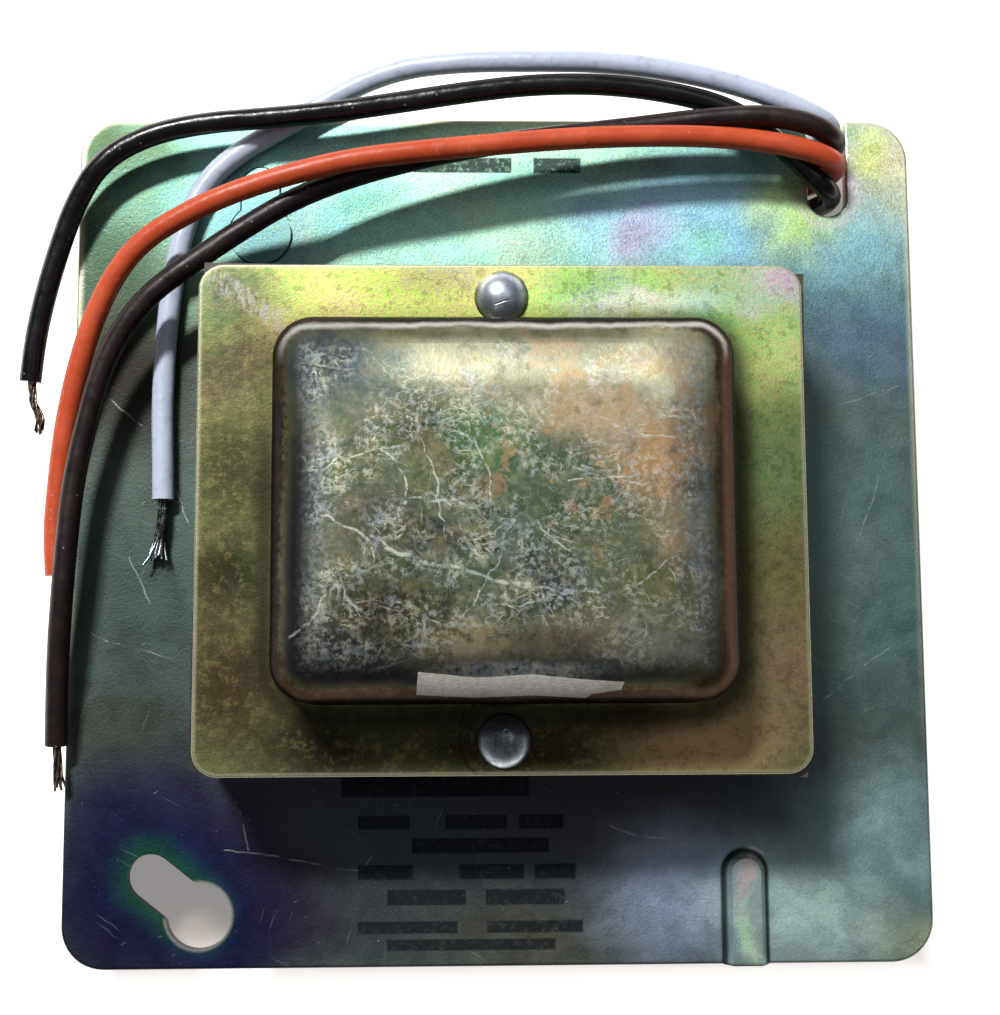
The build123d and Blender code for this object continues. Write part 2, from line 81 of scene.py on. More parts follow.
class Recipe:
    """A shader tree written down one step at a time. Each step gives back the socket that the next one uses."""

    def __init__(self, tree):
        self.tree = tree

    def node(self, kind, inputs=None, **settings):
        made = self.tree.nodes.new(kind)
        for name, value in settings.items():
            setattr(made, name, value)
        for key, value in (inputs or {}).items():
            if isinstance(value, bpy.types.NodeSocket):
                self.tree.links.new(value, made.inputs[key])
            else:
                made.inputs[key].default_value = value
        return made

    def math(self, operation, *values, clamp=False):
        return self.node("ShaderNodeMath", dict(enumerate(values)), operation=operation, use_clamp=clamp).outputs[0]

    def times(self, first, second):
        return self.math("MULTIPLY", first, second)

    def plus(self, first, second):
        return self.math("ADD", first, second)

    def minus(self, first, second):
        return self.math("SUBTRACT", first, second)

    def larger(self, first, second):
        return self.math("MAXIMUM", first, second)

    def vector(self, operation, *values, out="Vector"):
        return self.node("ShaderNodeVectorMath", dict(enumerate(values)), operation=operation).outputs[out]

    def axes(self, vector):
        return self.node("ShaderNodeSeparateXYZ", {0: vector}).outputs

    def scaled(self, vector, amount):
        return self.node("ShaderNodeVectorMath", {0: vector, "Scale": amount}, operation="SCALE").outputs[0]

    def turned(self, vector, angle):
        inputs = {"Vector": vector, "Angle": angle}
        return self.node("ShaderNodeVectorRotate", inputs, rotation_type="Z_AXIS").outputs[0]

    def noise(self, position, scale, detail=2.0, roughness=0.5, twist=0.0):
        inputs = {"Vector": position, "Scale": scale, "Detail": detail, "Roughness": roughness, "Distortion": twist}
        return self.node("ShaderNodeTexNoise", inputs).outputs[0]

    def span(self, value, low, high, start=0.0, end=1.0):
        inputs = {"Value": value, "From Min": low, "From Max": high, "To Min": start, "To Max": end}
        return self.node("ShaderNodeMapRange", inputs, interpolation_type="SMOOTHSTEP").outputs[0]

    def mix(self, factor, first, second, blend="MIX"):
        inputs = {0: factor, 6: first, 7: second}
        return self.node("ShaderNodeMix", inputs, data_type="RGBA", blend_type=blend).outputs[2]

    def ramp(self, value, stops, blend="LINEAR"):
        made = self.node("ShaderNodeValToRGB", {0: value})
        band = made.color_ramp
        band.interpolation = blend
        while len(band.elements) < len(stops):
            band.elements.new(0.5)
        for element, (place, colour) in zip(band.elements, stops):
            element.position = place
            element.color = colour
        return made.outputs[0]

    def use(self, group, place=None, **inputs):
        made = self.tree.nodes.new("ShaderNodeGroup")
        made.node_tree = group
        if place is not None:
            inputs["Position"] = place
        for name, value in inputs.items():
            socket = made.inputs[name.replace("_", " ")]
            if isinstance(value, bpy.types.NodeSocket):
                self.tree.links.new(value, socket)
            else:
                socket.default_value = value
        return made.outputs[0]


def shared_effect(name, inputs, output):
    """A node group with named inputs, ready to be written. output is its name and its kind of socket."""
    group = bpy.data.node_groups.new(name, "ShaderNodeTree")
    for label, start in inputs.items():
        kind = "NodeSocketVector" if isinstance(start, tuple) and len(start) == 3 else "NodeSocketFloat"
        if isinstance(start, tuple) and len(start) == 4:
            kind = "NodeSocketColor"
        group.interface.new_socket(label, in_out="INPUT", socket_type=kind).default_value = start
    group.interface.new_socket(output[0], in_out="OUTPUT", socket_type=output[1])
    entry = group.nodes.new("NodeGroupInput")
    leave = group.nodes.new("NodeGroupOutput")
    return group, Recipe(group), entry.outputs, leave.inputs[0]


def write_patch():
    """A soft oval of colour on the surface: 1 in its middle, 0 outside its reach."""
    inputs = {"Position": ORIGIN, "Centre": ORIGIN, "Reach": (1.0, 1.0, 1000.0), "Turn": 0.0}
    group, r, got, leave = shared_effect("soft_patch", inputs, ("Mask", "NodeSocketFloat"))
    offset = r.vector("SUBTRACT", got["Position"], got["Centre"])
    turned = r.turned(offset, got["Turn"])
    away = r.vector("LENGTH", r.vector("DIVIDE", turned, got["Reach"]), out="Value")
    group.links.new(r.span(away, 1.0, 0.1), leave)
    return group


def write_wander():
    """Moves the position about by two sizes of noise, so that nothing laid on it has a drawn edge."""
    inputs = {"Position": ORIGIN, "Coarse": 3.0, "Fine": 0.6}
    group, r, got, leave = shared_effect("wander", inputs, ("Position", "NodeSocketVector"))
    moved = got["Position"]
    for scale, amount in ((0.09, "Coarse"), (0.7, "Fine")):
        clouds = r.node("ShaderNodeTexNoise", {"Vector": got["Position"], "Scale": scale, "Detail": 3.0})
        drift = r.vector("SUBTRACT", clouds.outputs["Color"], (0.5, 0.5, 0.5))
        sized = r.scaled(drift, got[amount])
        moved = r.vector("ADD", moved, sized)
    group.links.new(moved, leave)
    return group


def write_film():
    """The run of colours that a chromate film shows as it gets thicker."""
    group, r, got, leave = shared_effect("chromate_film", {"Thickness": 0.5}, ("Colour", "NodeSocketColor"))
    stops = [
        (0.0, shade(220, 206, 120)),
        (0.16, shade(226, 150, 180)),
        (0.3, shade(160, 134, 220)),
        (0.44, shade(96, 160, 226)),
        (0.6, shade(96, 206, 214)),
        (0.74, shade(100, 206, 166)),
        (0.87, shade(160, 216, 110)),
        (1.0, shade(220, 206, 120)),
    ]
    group.links.new(r.ramp(r.math("FRACT", got["Thickness"]), stops), leave)
    return group


def write_outline():
    """A band along the outline of a rectangle with round corners. Inset moves it in from the outline."""
    inputs = {"Position": ORIGIN, "Half size": (10.0, 10.0, 0.0), "Corner": 1.0, "Inset": 0.0, "Width": 1.0}
    group, r, got, leave = shared_effect("outline_band", inputs, ("Mask", "NodeSocketFloat"))
    flat = r.vector("MULTIPLY", got["Position"], (1.0, 1.0, 0.0))
    reach = r.vector("ABSOLUTE", flat)
    rounding = r.node("ShaderNodeCombineXYZ", {0: got["Corner"], 1: got["Corner"], 2: 0.0}).outputs[0]
    shrunk = r.vector("SUBTRACT", got["Half size"], rounding)
    past = r.vector("SUBTRACT", reach, shrunk)
    parts = r.axes(past)
    inner = r.math("MINIMUM", r.larger(parts[0], parts[1]), 0.0)
    level = r.vector("MULTIPLY", past, (1.0, 1.0, 0.0))
    outer = r.vector("LENGTH", r.vector("MAXIMUM", level, ORIGIN), out="Value")
    away = r.minus(r.plus(inner, outer), got["Corner"])
    away = r.math("ABSOLUTE", r.plus(away, got["Inset"]))
    group.links.new(r.span(r.math("DIVIDE", away, got["Width"]), 1.0, 0.0), leave)
    return group


def write_stroke():
    """A straight stroke between two points of the surface, fading at its sides."""
    inputs = {"Position": ORIGIN, "From": ORIGIN, "To": (1.0, 0.0, 0.0), "Width": 0.2}
    group, r, got, leave = shared_effect("stroke", inputs, ("Mask", "NodeSocketFloat"))
    flat = (1.0, 1.0, 0.0)
    here = r.vector("MULTIPLY", r.vector("SUBTRACT", got["Position"], got["From"]), flat)
    along = r.vector("MULTIPLY", r.vector("SUBTRACT", got["To"], got["From"]), flat)
    reached = r.vector("DOT_PRODUCT", here, along, out="Value")
    whole = r.vector("DOT_PRODUCT", along, along, out="Value")
    share = r.math("DIVIDE", reached, whole, clamp=True)
    foot = r.scaled(along, share)
    away = r.vector("LENGTH", r.vector("SUBTRACT", here, foot), out="Value")
    group.links.new(r.span(r.math("DIVIDE", away, got["Width"]), 1.0, 0.35), leave)
    return group


def write_ring():
    """A ring round a point, such as the burr of a hole."""
    inputs = {"Position": ORIGIN, "Centre": ORIGIN, "Radius": 3.0, "Width": 0.4}
    group, r, got, leave = shared_effect("ring_band", inputs, ("Mask", "NodeSocketFloat"))
    flat = r.vector("MULTIPLY", r.vector("SUBTRACT", got["Position"], got["Centre"]), (1.0, 1.0, 0.0))
    away = r.math("ABSOLUTE", r.minus(r.vector("LENGTH", flat, out="Value"), got["Radius"]))
    group.links.new(r.span(r.math("DIVIDE", away, got["Width"]), 1.0, 0.0), leave)
    return group


def write_hairlines():
    """Short hair scratches: the level line of a stretched noise, broken up by a second noise."""
    inputs = {"Position": ORIGIN, "Turn": 0.0, "Along": 0.25, "Across": 1.1, "Width": 0.02, "Cover": 0.5}
    inputs["Start"] = ORIGIN
    group, r, got, leave = shared_effect("hairlines", inputs, ("Mask", "NodeSocketFloat"))
    turned = r.turned(got["Position"], got["Turn"])
    pull = r.node("ShaderNodeCombineXYZ", {0: got["Along"], 1: got["Across"], 2: 0.05}).outputs[0]
    pulled = r.vector("ADD", r.vector("MULTIPLY", turned, pull), got["Start"])
    level = r.math("ABSOLUTE", r.minus(r.noise(pulled, 1.0, 2.0, 0.55), 0.5))
    line = r.span(r.math("DIVIDE", level, got["Width"]), 1.0, 0.0)
    broken = r.noise(r.vector("ADD", got["Position"], got["Start"]), 0.9, 2.0, 0.6)
    kept = r.span(r.minus(broken, r.minus(1.0, got["Cover"])), -0.02, 0.06)
    group.links.new(r.times(line, kept), leave)
    return group


def write_scratches():
    """Scratches strewn over the surface, each with its own place, length and weight."""
    inputs = {"Position": ORIGIN, "Turn": 0.0, "Along": 0.2, "Across": 3.0, "Size": 0.3, "Cover": 0.4}
    inputs["Start"] = ORIGIN
    group, r, got, leave = shared_effect("scratches", inputs, ("Mask", "NodeSocketFloat"))
    turned = r.turned(got["Position"], got["Turn"])
    pull = r.node("ShaderNodeCombineXYZ", {0: got["Along"], 1: got["Across"], 2: 0.0}).outputs[0]
    pulled = r.vector("ADD", r.vector("MULTIPLY", turned, pull), got["Start"])
    inputs = {"Vector": pulled, "Scale": 1.0, "Randomness": 1.0}
    cells = r.node("ShaderNodeTexVoronoi", inputs, voronoi_dimensions="2D")
    lot = r.node("ShaderNodeSeparateColor", {0: cells.outputs["Color"]}).outputs
    size = r.times(got["Size"], r.span(lot[1], 0.0, 1.0, 0.45, 1.3))
    line = r.span(r.math("DIVIDE", cells.outputs["Distance"], size), 1.0, 0.3)
    kept = r.times(r.math("LESS_THAN", lot[0], got["Cover"]), r.span(lot[2], 0.0, 1.0, 0.45, 1.0))
    group.links.new(r.times(line, kept), leave)
    return group


def write_specks():
    """Dust and pits: small scattered dots."""
    inputs = {"Position": ORIGIN, "Scale": 1.0, "Size": 0.2, "Cover": 0.4}
    group, r, got, leave = shared_effect("specks", inputs, ("Mask", "NodeSocketFloat"))
    cells = r.node("ShaderNodeTexVoronoi", {"Vector": got["Position"], "Scale": got["Scale"], "Randomness": 1.0})
    dot = r.span(r.math("DIVIDE", cells.outputs["Distance"], got["Size"]), 1.0, 0.4)
    lot = r.node("ShaderNodeSeparateColor", {0: cells.outputs["Color"]}).outputs[0]
    kept = r.math("LESS_THAN", lot, got["Cover"])
    group.links.new(r.times(dot, kept), leave)
    return group


def write_bar():
    """A plain rectangle of ink with soft sides."""
    inputs = {"Position": ORIGIN, "Centre": ORIGIN, "Half size": (1.0, 1.0, 1.0)}
    group, r, got, leave = shared_effect("ink_bar", inputs, ("Mask", "NodeSocketFloat"))
    reach = r.vector("ABSOLUTE", r.vector("SUBTRACT", got["Position"], got["Centre"]))
    parts = r.axes(r.vector("SUBTRACT", reach, got["Half size"]))
    group.links.new(r.span(r.larger(parts[0], parts[1]), 0.12, -0.12), leave)
    return group


soft_patch = write_patch()
wander = write_wander()
chromate_film = write_film()
outline_band = write_outline()
stroke = write_stroke()
ring_band = write_ring()
hairlines = write_hairlines()
scratches = write_scratches()
specks = write_specks()
ink_bar = write_bar()


def new_finish(name):
    """A material with its recipe, its position in millimetres and its Principled shader."""
    material = bpy.data.materials.new(name)
    material.use_nodes = True
    material.node_tree.nodes.clear()
    r = Recipe(material.node_tree)
    shader = r.node("ShaderNodeBsdfPrincipled")
    leave = r.node("ShaderNodeOutputMaterial")
    r.tree.links.new(shader.outputs[0], leave.inputs[0])
    place = r.node("ShaderNodeTexCoord").outputs["Object"]
    place = r.scaled(place, 1000.0)
    return material, r, shader, place


def feed(r, shader, **inputs):
    """Sets or links the Principled shader's inputs by name."""
    for name, value in inputs.items():
        socket = shader.inputs[name.replace("_", " ")]
        if isinstance(value, bpy.types.NodeSocket):
            r.tree.links.new(value, socket)
        else:
            socket.default_value = value


def bump(r, height, depth, under=None):
    """A normal from a height of 0 to 1 that is depth millimetres deep."""
    inputs = {"Strength": 1.0, "Distance": depth * MM, "Height": height}
    if under is not None:
        inputs["Normal"] = under
    return r.node("ShaderNodeBump", inputs).outputs[0]


def lay_patches(r, base, place, patches):
    """Lays soft ovals over a base: centre, reach, turn in degrees, 8-bit screen colour and strength."""
    colour = base
    for x, y, reach_x, reach_y, turn, tint, strength in patches:
        reach = (reach_x, reach_y, 1000.0)
        mask = r.use(soft_patch, place, Centre=(x, y, 0.0), Reach=reach, Turn=math.radians(turn))
        colour = r.mix(r.times(mask, strength), colour, shade(*tint))
    return colour


def lay_film(r, base, thickness, high, tint, sheen):
    """Lays the film's colours over a base. tint and sheen give their strengths where high is 0 and where it is 1."""
    film = r.use(chromate_film, Thickness=thickness)
    colour = r.mix(r.span(high, 0.0, 1.0, *tint), base, film, "COLOR")
    return r.mix(r.span(high, 0.0, 1.0, *sheen), colour, film, "SOFT_LIGHT")


def strew(r, marks, effect, place, breadth, layers):
    """Adds scratches or hairlines in several directions to marks. breadth is the input that sets how broad they are."""
    for turn, along, across, broad, cover, start, strength in layers:
        inputs = {"Turn": turn, "Along": along, "Across": across, breadth: broad, "Cover": cover, "Start": start}
        marks = r.larger(marks, r.times(r.use(effect, place, **inputs), strength))
    return marks


def add_scores(r, marks, place, scores, broken=1.0, wider=1.0, strength=1.0):
    """Adds single straight scores to marks. broken is a mask that interrupts them."""
    for x1, y1, x2, y2, width in scores:
        line = r.use(stroke, place, From=(x1, y1, 0.0), To=(x2, y2, 0.0), Width=width * wider)
        marks = r.larger(marks, r.times(r.times(line, broken), strength))
    return marks


def darken_grain(r, colour, grain):
    """Darkens a colour a little in the valleys of its grain."""
    tone = r.ramp(grain, [(0.3, (0.86, 0.86, 0.86, 1.0)), (0.7, (1.0, 1.0, 1.0, 1.0))])
    return r.mix(1.0, colour, tone, "MULTIPLY")


# Colour fields of the plate's chromate film with painted light and shade in them: brighter towards the top edge and
# darker towards the lower left, standing for reflected light and dark, and a painted highlight on the top end of the
# rib
plate_tints_and_painted_light = [
    (0, -30, 70, 26, 0, (60, 54, 66), 0.9), (0, 44, 75, 26, 0, (172, 204, 204), 1.0),
    (47, 44, 17, 18, 0, (239, 222, 205), 0.95), (45, 34, 12, 12, 0, (148, 176, 200), 0.9),
    (46, 24, 15, 12, 0, (102, 116, 144), 0.8), (24, 38, 24, 10, 0, (169, 186, 229), 0.8),
    (4, 48, 34, 5, -4, (198, 226, 206), 0.75), (-48, 48, 16, 8, 20, (73, 81, 58), 0.9),
    (-16, 41, 8, 5, 0, (94, 128, 141), 0.7), (-2, 51, 14, 3, 0, (226, 226, 176), 0.7),
    (3, 41, 8, 5, 0, (150, 208, 206), 0.6), (18, 37, 5, 6, 20, (186, 146, 200), 0.85),
    (12, 40, 6, 4, 0, (146, 148, 196), 0.6), (25, 36, 4, 4, 0, (154, 209, 175), 0.6),
    (31, 38, 6, 4, 0, (148, 179, 205), 0.7), (35, 41, 9, 6, 0, (210, 214, 130), 0.9),
    (37, 36.6, 8, 4.4, -15, (204, 212, 128), 0.85), (43, 46, 2.6, 8, -10, (234, 200, 230), 0.9),
    (46, 47, 3.4, 6, 0, (228, 226, 150), 0.8), (43, 50, 2, 4, 0, (186, 221, 171), 0.7),
    (-20, 38, 5, 4, 0, (108, 144, 170), 0.6), (-24, 38, 2.4, 6, 0, (165, 158, 188), 0.5),
    (-28, 36, 12, 8, 0, (91, 104, 135), 0.6), (-46, 33, 12, 14, 10, (62, 74, 70), 0.95),
    (-44, 18, 16, 18, 0, (34, 26, 24), 0.95), (-43, -6, 18, 26, 0, (67, 76, 73), 0.95),
    (-44, -24, 18, 12, 0, (66, 67, 56), 0.8), (-40, -37, 20, 15, 0, (40, 34, 66), 0.9),
    (-46, -47, 15, 10, 0, (10, 23, 41), 0.9), (-25, -44, 18, 11, 8, (49, 38, 55), 0.9),
    (-37, -48, 5, 4, 0, (70, 72, 60), 0.9), (-10, -37, 22, 14, 0, (66, 70, 76), 0.8),
    (4, -47, 22, 8, 0, (92, 88, 78), 0.8), (21, -43, 15, 12, 0, (159, 164, 191), 0.95),
    (36, -46, 18, 12, 15, (191, 216, 213), 0.95), (46, -36, 14, 13, 0, (150, 184, 191), 0.9),
    (47, -4, 15, 34, 0, (87, 116, 118), 0.9), (50, -49, 10, 6, 0, (180, 186, 160), 0.7),
    (28.8, -41, 1.6, 4, 0, (209, 186, 187), 0.8), (28.8, -47, 1.6, 5, 0, (211, 239, 196), 0.8),
    (28.6, -38.4, 2.2, 0.9, 0, (239, 239, 239), 0.9),
]

# Rings of film round the keyhole, with painted dark reflection in their dark colours: reach in millimetres, colour and
# strength
keyhole_film_and_dark_reflection = [
    (19.0, shade(44, 30, 66), 0.8),
    (14.0, shade(15, 9, 66), 0.85),
    (7.4, shade(10, 34, 84), 0.8),
    (5.7, shade(30, 92, 62), 0.9),
]

# Plain bars of ink: middle, half length and half height in millimetres
plate_bars = [
    (-15.6, 45.0, 4.2, 0.8), (-4.2, 45.0, 6.0, 0.95), (7.4, 45.0, 2.9, 0.95), (-7.6, -30.1, 11.0, 1.25),
    (-13.6, -34.3, 3.0, 0.8), (-2.8, -34.3, 3.6, 0.8), (4.8, -34.3, 2.6, 0.8), (-2.3, -37.0, 8.0, 0.85),
    (-13.4, -40.0, 3.2, 0.85), (-1.0, -40.0, 3.8, 0.85), (6.4, -40.0, 2.4, 0.85), (-8.6, -42.9, 4.6, 0.9),
    (2.9, -42.9, 4.6, 0.9), (-10.8, -46.3, 5.8, 0.7), (4.0, -46.3, 5.6, 0.7), (-3.4, -48.3, 9.8, 0.65),
]

# Single scores: one end, the other end and the width in millimetres
plate_scores = [
    (-32, -37.5, -16, -39.6, 0.12), (-16, -39.6, -15, -38.2, 0.1), (-30, -33, -29, -37.6, 0.12),
    (43, -2, 47, 9, 0.12), (41, 15, 49, 18, 0.1), (28, -44, 34, -42, 0.12), (39, -20, 47, -14, 0.12),
    (-47, 16, -43, 13, 0.12), (-44, -3, -41, -9, 0.12), (-39, 6, -37, 1, 0.12), (13, -35, 25, -38, 0.12),
    (-48, -12, -38, -15, 0.1),
]


def write_plate_finish():
    """Iridescent chromate film on the zinc of the cover plate, with its worn edges, rub marks and ink."""
    material, r, shader, place = new_finish("chromate_plate")
    loose = r.use(wander, place, Coarse=7.0, Fine=1.6)
    worn = r.use(wander, place, Coarse=3.0, Fine=0.3)
    colour = lay_patches(r, shade(92, 101, 101), loose, plate_tints_and_painted_light)
    thinned = r.span(r.noise(loose, 0.11, 3.0, 0.6), 0.36, 0.6, 0.72, 1.0)
    for reach, tint, strength in keyhole_film_and_dark_reflection:
        near_hole = r.use(stroke, worn, From=keyhole_run[0], To=keyhole_run[1], Width=reach)
        colour = r.mix(r.times(r.times(near_hole, thinned), strength), colour, tint)
    height = r.axes(place)
    bright = r.span(height[1], 8.0, 40.0)

    drift = r.noise(place, 0.035, 3.0, 0.6, 0.4)
    spangle = r.noise(place, 2.4, 3.0, 0.65)
    thickness = r.plus(r.times(drift, 0.9), r.times(spangle, 0.7))
    colour = lay_film(r, colour, thickness, bright, (0.05, 0.16), (0.1, 0.34))

    grain = r.noise(place, 4.2, 2.0, 0.7)
    stain = r.noise(loose, 0.28, 4.0, 0.6)
    gritty = r.times(r.span(grain, 0.3, 0.7, -0.22, 0.22), r.span(bright, 0.0, 1.0, 0.3, 1.0))
    tone = r.plus(gritty, r.span(stain, 0.3, 0.7, 0.86, 1.12))
    tone_colour = r.node("ShaderNodeCombineColor", {0: tone, 1: tone, 2: tone}).outputs[0]
    colour = r.mix(1.0, colour, tone_colour, "MULTIPLY")

    marks = r.times(r.use(specks, worn, Scale=0.34, Size=0.045, Cover=0.2), 0.6)
    marks = strew(r, marks, scratches, worn, "Size", [
        (0.5, 0.05, 1.5, 0.1, 0.13, (1.0, 5.0, 0.0), 0.2),
        (1.9, 0.06, 1.6, 0.1, 0.11, (7.0, 2.0, 0.0), 0.2),
        (2.6, 0.26, 1.1, 0.08, 0.1, (4.0, 8.0, 0.0), 0.34),
    ])
    broken = r.span(r.noise(place, 0.5, 3.0, 0.6), 0.36, 0.6)
    marks = add_scores(r, marks, worn, plate_scores, broken, strength=0.36)
    colour = r.mix(marks, colour, shade(190, 198, 190))

    # Pale edge of the plate: worn zinc with a painted highlight, stronger towards the lit top edge
    worn_rim_highlight = r.use(outline_band, place, Inset=0.0, Width=1.1, **plate_outline)
    lit_side = r.span(height[1], -46.0, 50.0, 0.0, 0.85)
    colour = r.mix(r.times(worn_rim_highlight, lit_side), colour, shade(226, 224, 196))
    # Painted shade: a dark line along the plate's bottom and right edges
    shaded_edge = r.use(outline_band, place, Inset=-0.1, Width=0.6, **plate_outline)
    shaded_sides = r.larger(r.span(height[1], -44.0, -50.0, 0.0, 0.9), r.span(height[0], 46.0, 50.0, 0.0, 0.5))
    colour = r.mix(r.times(shaded_edge, shaded_sides), colour, shade(20, 22, 24))
    # Painted shade: a dark line round the foot of the raised rib
    beside = r.minus(height[0], rib_x)
    past_round = r.larger(r.minus(height[1], rib_round_y), 0.0)
    from_rib = r.math("SQRT", r.plus(r.times(beside, beside), r.times(past_round, past_round)))
    rib_foot_shade = r.span(r.math("ABSOLUTE", r.minus(from_rib, rib_half - 0.15)), 0.5, 0.12)
    colour = r.mix(r.times(rib_foot_shade, 0.85), colour, shade(18, 22, 22))
    for centre, radius in burred_holes:
        burr = r.use(ring_band, place, Centre=centre, Radius=radius, Width=0.45)
        colour = r.mix(r.times(burr, 0.45), colour, shade(214, 206, 200))
    pink = r.use(ring_band, place, Centre=(40.6, 40.8, 0.0), Radius=3.3, Width=1.1)
    colour = r.mix(r.times(pink, 0.3), colour, shade(236, 206, 214))

    inked = 0.0
    for x, y, half_x, half_y in plate_bars:
        bar = r.use(ink_bar, place, Centre=(x, y, 0.0), Half_size=(half_x, half_y, 0.0))
        inked = r.larger(inked, bar)
    inked = r.times(inked, r.span(height[2], plate_top - 0.3, plate_top - 0.1))
    thin = r.span(r.noise(place, 1.6, 3.0, 0.7), 0.3, 0.5, 0.5, 0.9)
    inked = r.times(inked, thin)
    colour = r.mix(inked, colour, shade(22, 28, 34))

    rough = r.span(r.plus(stain, r.times(grain, 0.5)), 0.4, 1.1, 0.4, 0.56)
    rough = r.plus(rough, r.times(inked, 0.15))
    relief = r.plus(r.times(grain, 0.6), r.times(spangle, 0.8))
    feed(r, shader, Base_Color=colour, Metallic=0.8, Roughness=rough, Normal=bump(r, relief, 0.035))
    return material


# Colour fields of the cup's top with painted light and shade in them: a painted highlight along the upper edge, painted
# shade towards the lower left, and a dark field at the upper left that damps the lamp's highlight
top_tints_and_painted_light = [
    (0, 0, 30, 24, 0, (87, 103, 82), 1.0), (4, 13, 24, 8, 0, (168, 168, 139), 0.95),
    (17, 15, 9, 6, 0, (232, 234, 192), 0.8), (-16, 14, 10, 8, 20, (80, 94, 100), 0.9),
    (10, 9, 12, 5, 10, (192, 168, 132), 0.85), (-2, 7, 7, 6, 0, (85, 122, 74), 0.9),
    (-9, 8, 5, 5, 0, (24, 48, 23), 0.85), (2, 4, 5, 3, 40, (78, 102, 72), 0.8), (-8, 3, 7, 4, 0, (91, 101, 64), 0.9),
    (16, 4, 7, 6, 0, (174, 142, 102), 0.85), (18, -2, 5, 5, 0, (162, 148, 114), 0.8),
    (8, -2, 8, 6, 0, (82, 98, 72), 0.85), (-9, -3, 9, 5, 0, (59, 59, 53), 0.85),
    (0, -4, 5, 5, 0, (92, 106, 97), 0.85), (4, -8, 6, 5, 0, (54, 63, 64), 0.9), (-14, -2, 6, 6, 0, (93, 86, 79), 0.8),
    (-12, -11, 10, 6, 0, (35, 24, 7), 0.9), (6, -14, 9, 5, 0, (115, 103, 88), 0.85),
    (14, -8, 4, 3, 0, (92, 97, 49), 0.9), (-4, -14, 6, 4, 0, (184, 168, 128), 0.8),
    (15, -14, 8, 5, 0, (152, 150, 132), 0.8), (-16, -15, 9, 5, 0, (52, 54, 56), 0.9),
    (-19, 15.5, 7, 5, -40, (31, 36, 42), 0.9), (-19.6, 2, 3, 18, 0, (72, 81, 85), 0.75),
    (20, -4, 2.6, 15, 0, (122, 130, 134), 0.6),
]

# Colour fields of the flange's film with painted light and shade in them: bright towards the top, dark along the bottom
# below the cup and darker down the sides
flange_tints_and_painted_light = [
    (0, 27, 60, 12, 0, (196, 214, 140), 1.0), (-30, 25, 10, 8, 0, (93, 81, 80), 0.9),
    (-9, 26, 12, 5, 0, (132, 169, 91), 0.8), (11, 25, 9, 5, 0, (122, 210, 164), 0.9),
    (22, 26, 6, 5, 0, (200, 192, 180), 0.7), (31, 27, 8, 7, 0, (218, 208, 239), 0.85),
    (18, 23.6, 13, 2.6, 0, (228, 234, 239), 0.8), (31.6, 26.6, 4, 3, 0, (206, 147, 220), 0.7),
    (28, 22.4, 3, 2.4, 0, (224, 191, 239), 0.6), (9, 26, 5, 2.4, 0, (117, 198, 96), 0.7),
    (30.6, 20, 1.6, 7, 8, (208, 173, 131), 0.5), (31, 18, 8, 9, 0, (193, 210, 158), 0.95),
    (30, 6, 9, 10, 0, (100, 127, 82), 0.95), (31, -6, 9, 10, 0, (110, 104, 66), 0.95),
    (31, -18, 10, 12, 0, (133, 114, 86), 0.95), (-30, 17, 9, 9, 0, (80, 78, 60), 0.95),
    (-30, 5, 9, 10, 0, (63, 60, 36), 0.95), (-29, -6, 6, 7, 0, (43, 56, 35), 0.9),
    (-31, -7, 5, 9, 0, (42, 34, 13), 0.7), (-30, -18, 10, 12, 0, (67, 55, 35), 0.95),
    (0, -25, 26, 8, 0, (42, 33, 16), 1.0), (21, -25, 13, 7, 0, (182, 148, 107), 0.9),
    (14, -22, 6, 4, 0, (76, 55, 27), 0.7), (-20, -25, 12, 7, 0, (17, 8, 7), 0.9),
]

can_scores = [
    (-16.4, 5.2, -13.0, 5.9, 0.14), (-13.0, 5.9, -11.6, 3.0, 0.2), (-11.4, 3.2, -10.8, -0.6, 0.18),
    (-10.6, 0.2, -4.8, 0.4, 0.16), (-9.6, 7.6, -6.4, -3.2, 0.1), (-3.4, 6.8, -1.8, 1.0, 0.13),
    (-18.6, -1.6, -12.6, -5.6, 0.16), (-13.4, -4.4, -6.6, -6.4, 0.26), (-6.2, -6.2, 2.4, -8.4, 0.24),
    (2.0, -8.6, 9.6, -9.4, 0.16), (-1.0, -9.8, 7.6, -9.0, 0.1), (-21.0, -13.4, -16.4, -9.0, 0.16),
    (6.6, 2.4, 14.4, 3.8, 0.13), (9.2, 8.6, 17.0, 6.4, 0.12), (3.2, -2.2, 8.2, -6.8, 0.14),
    (12.4, -8.4, 17.6, -5.2, 0.12), (-5.4, -12.4, -0.8, -3.6, 0.1),
]


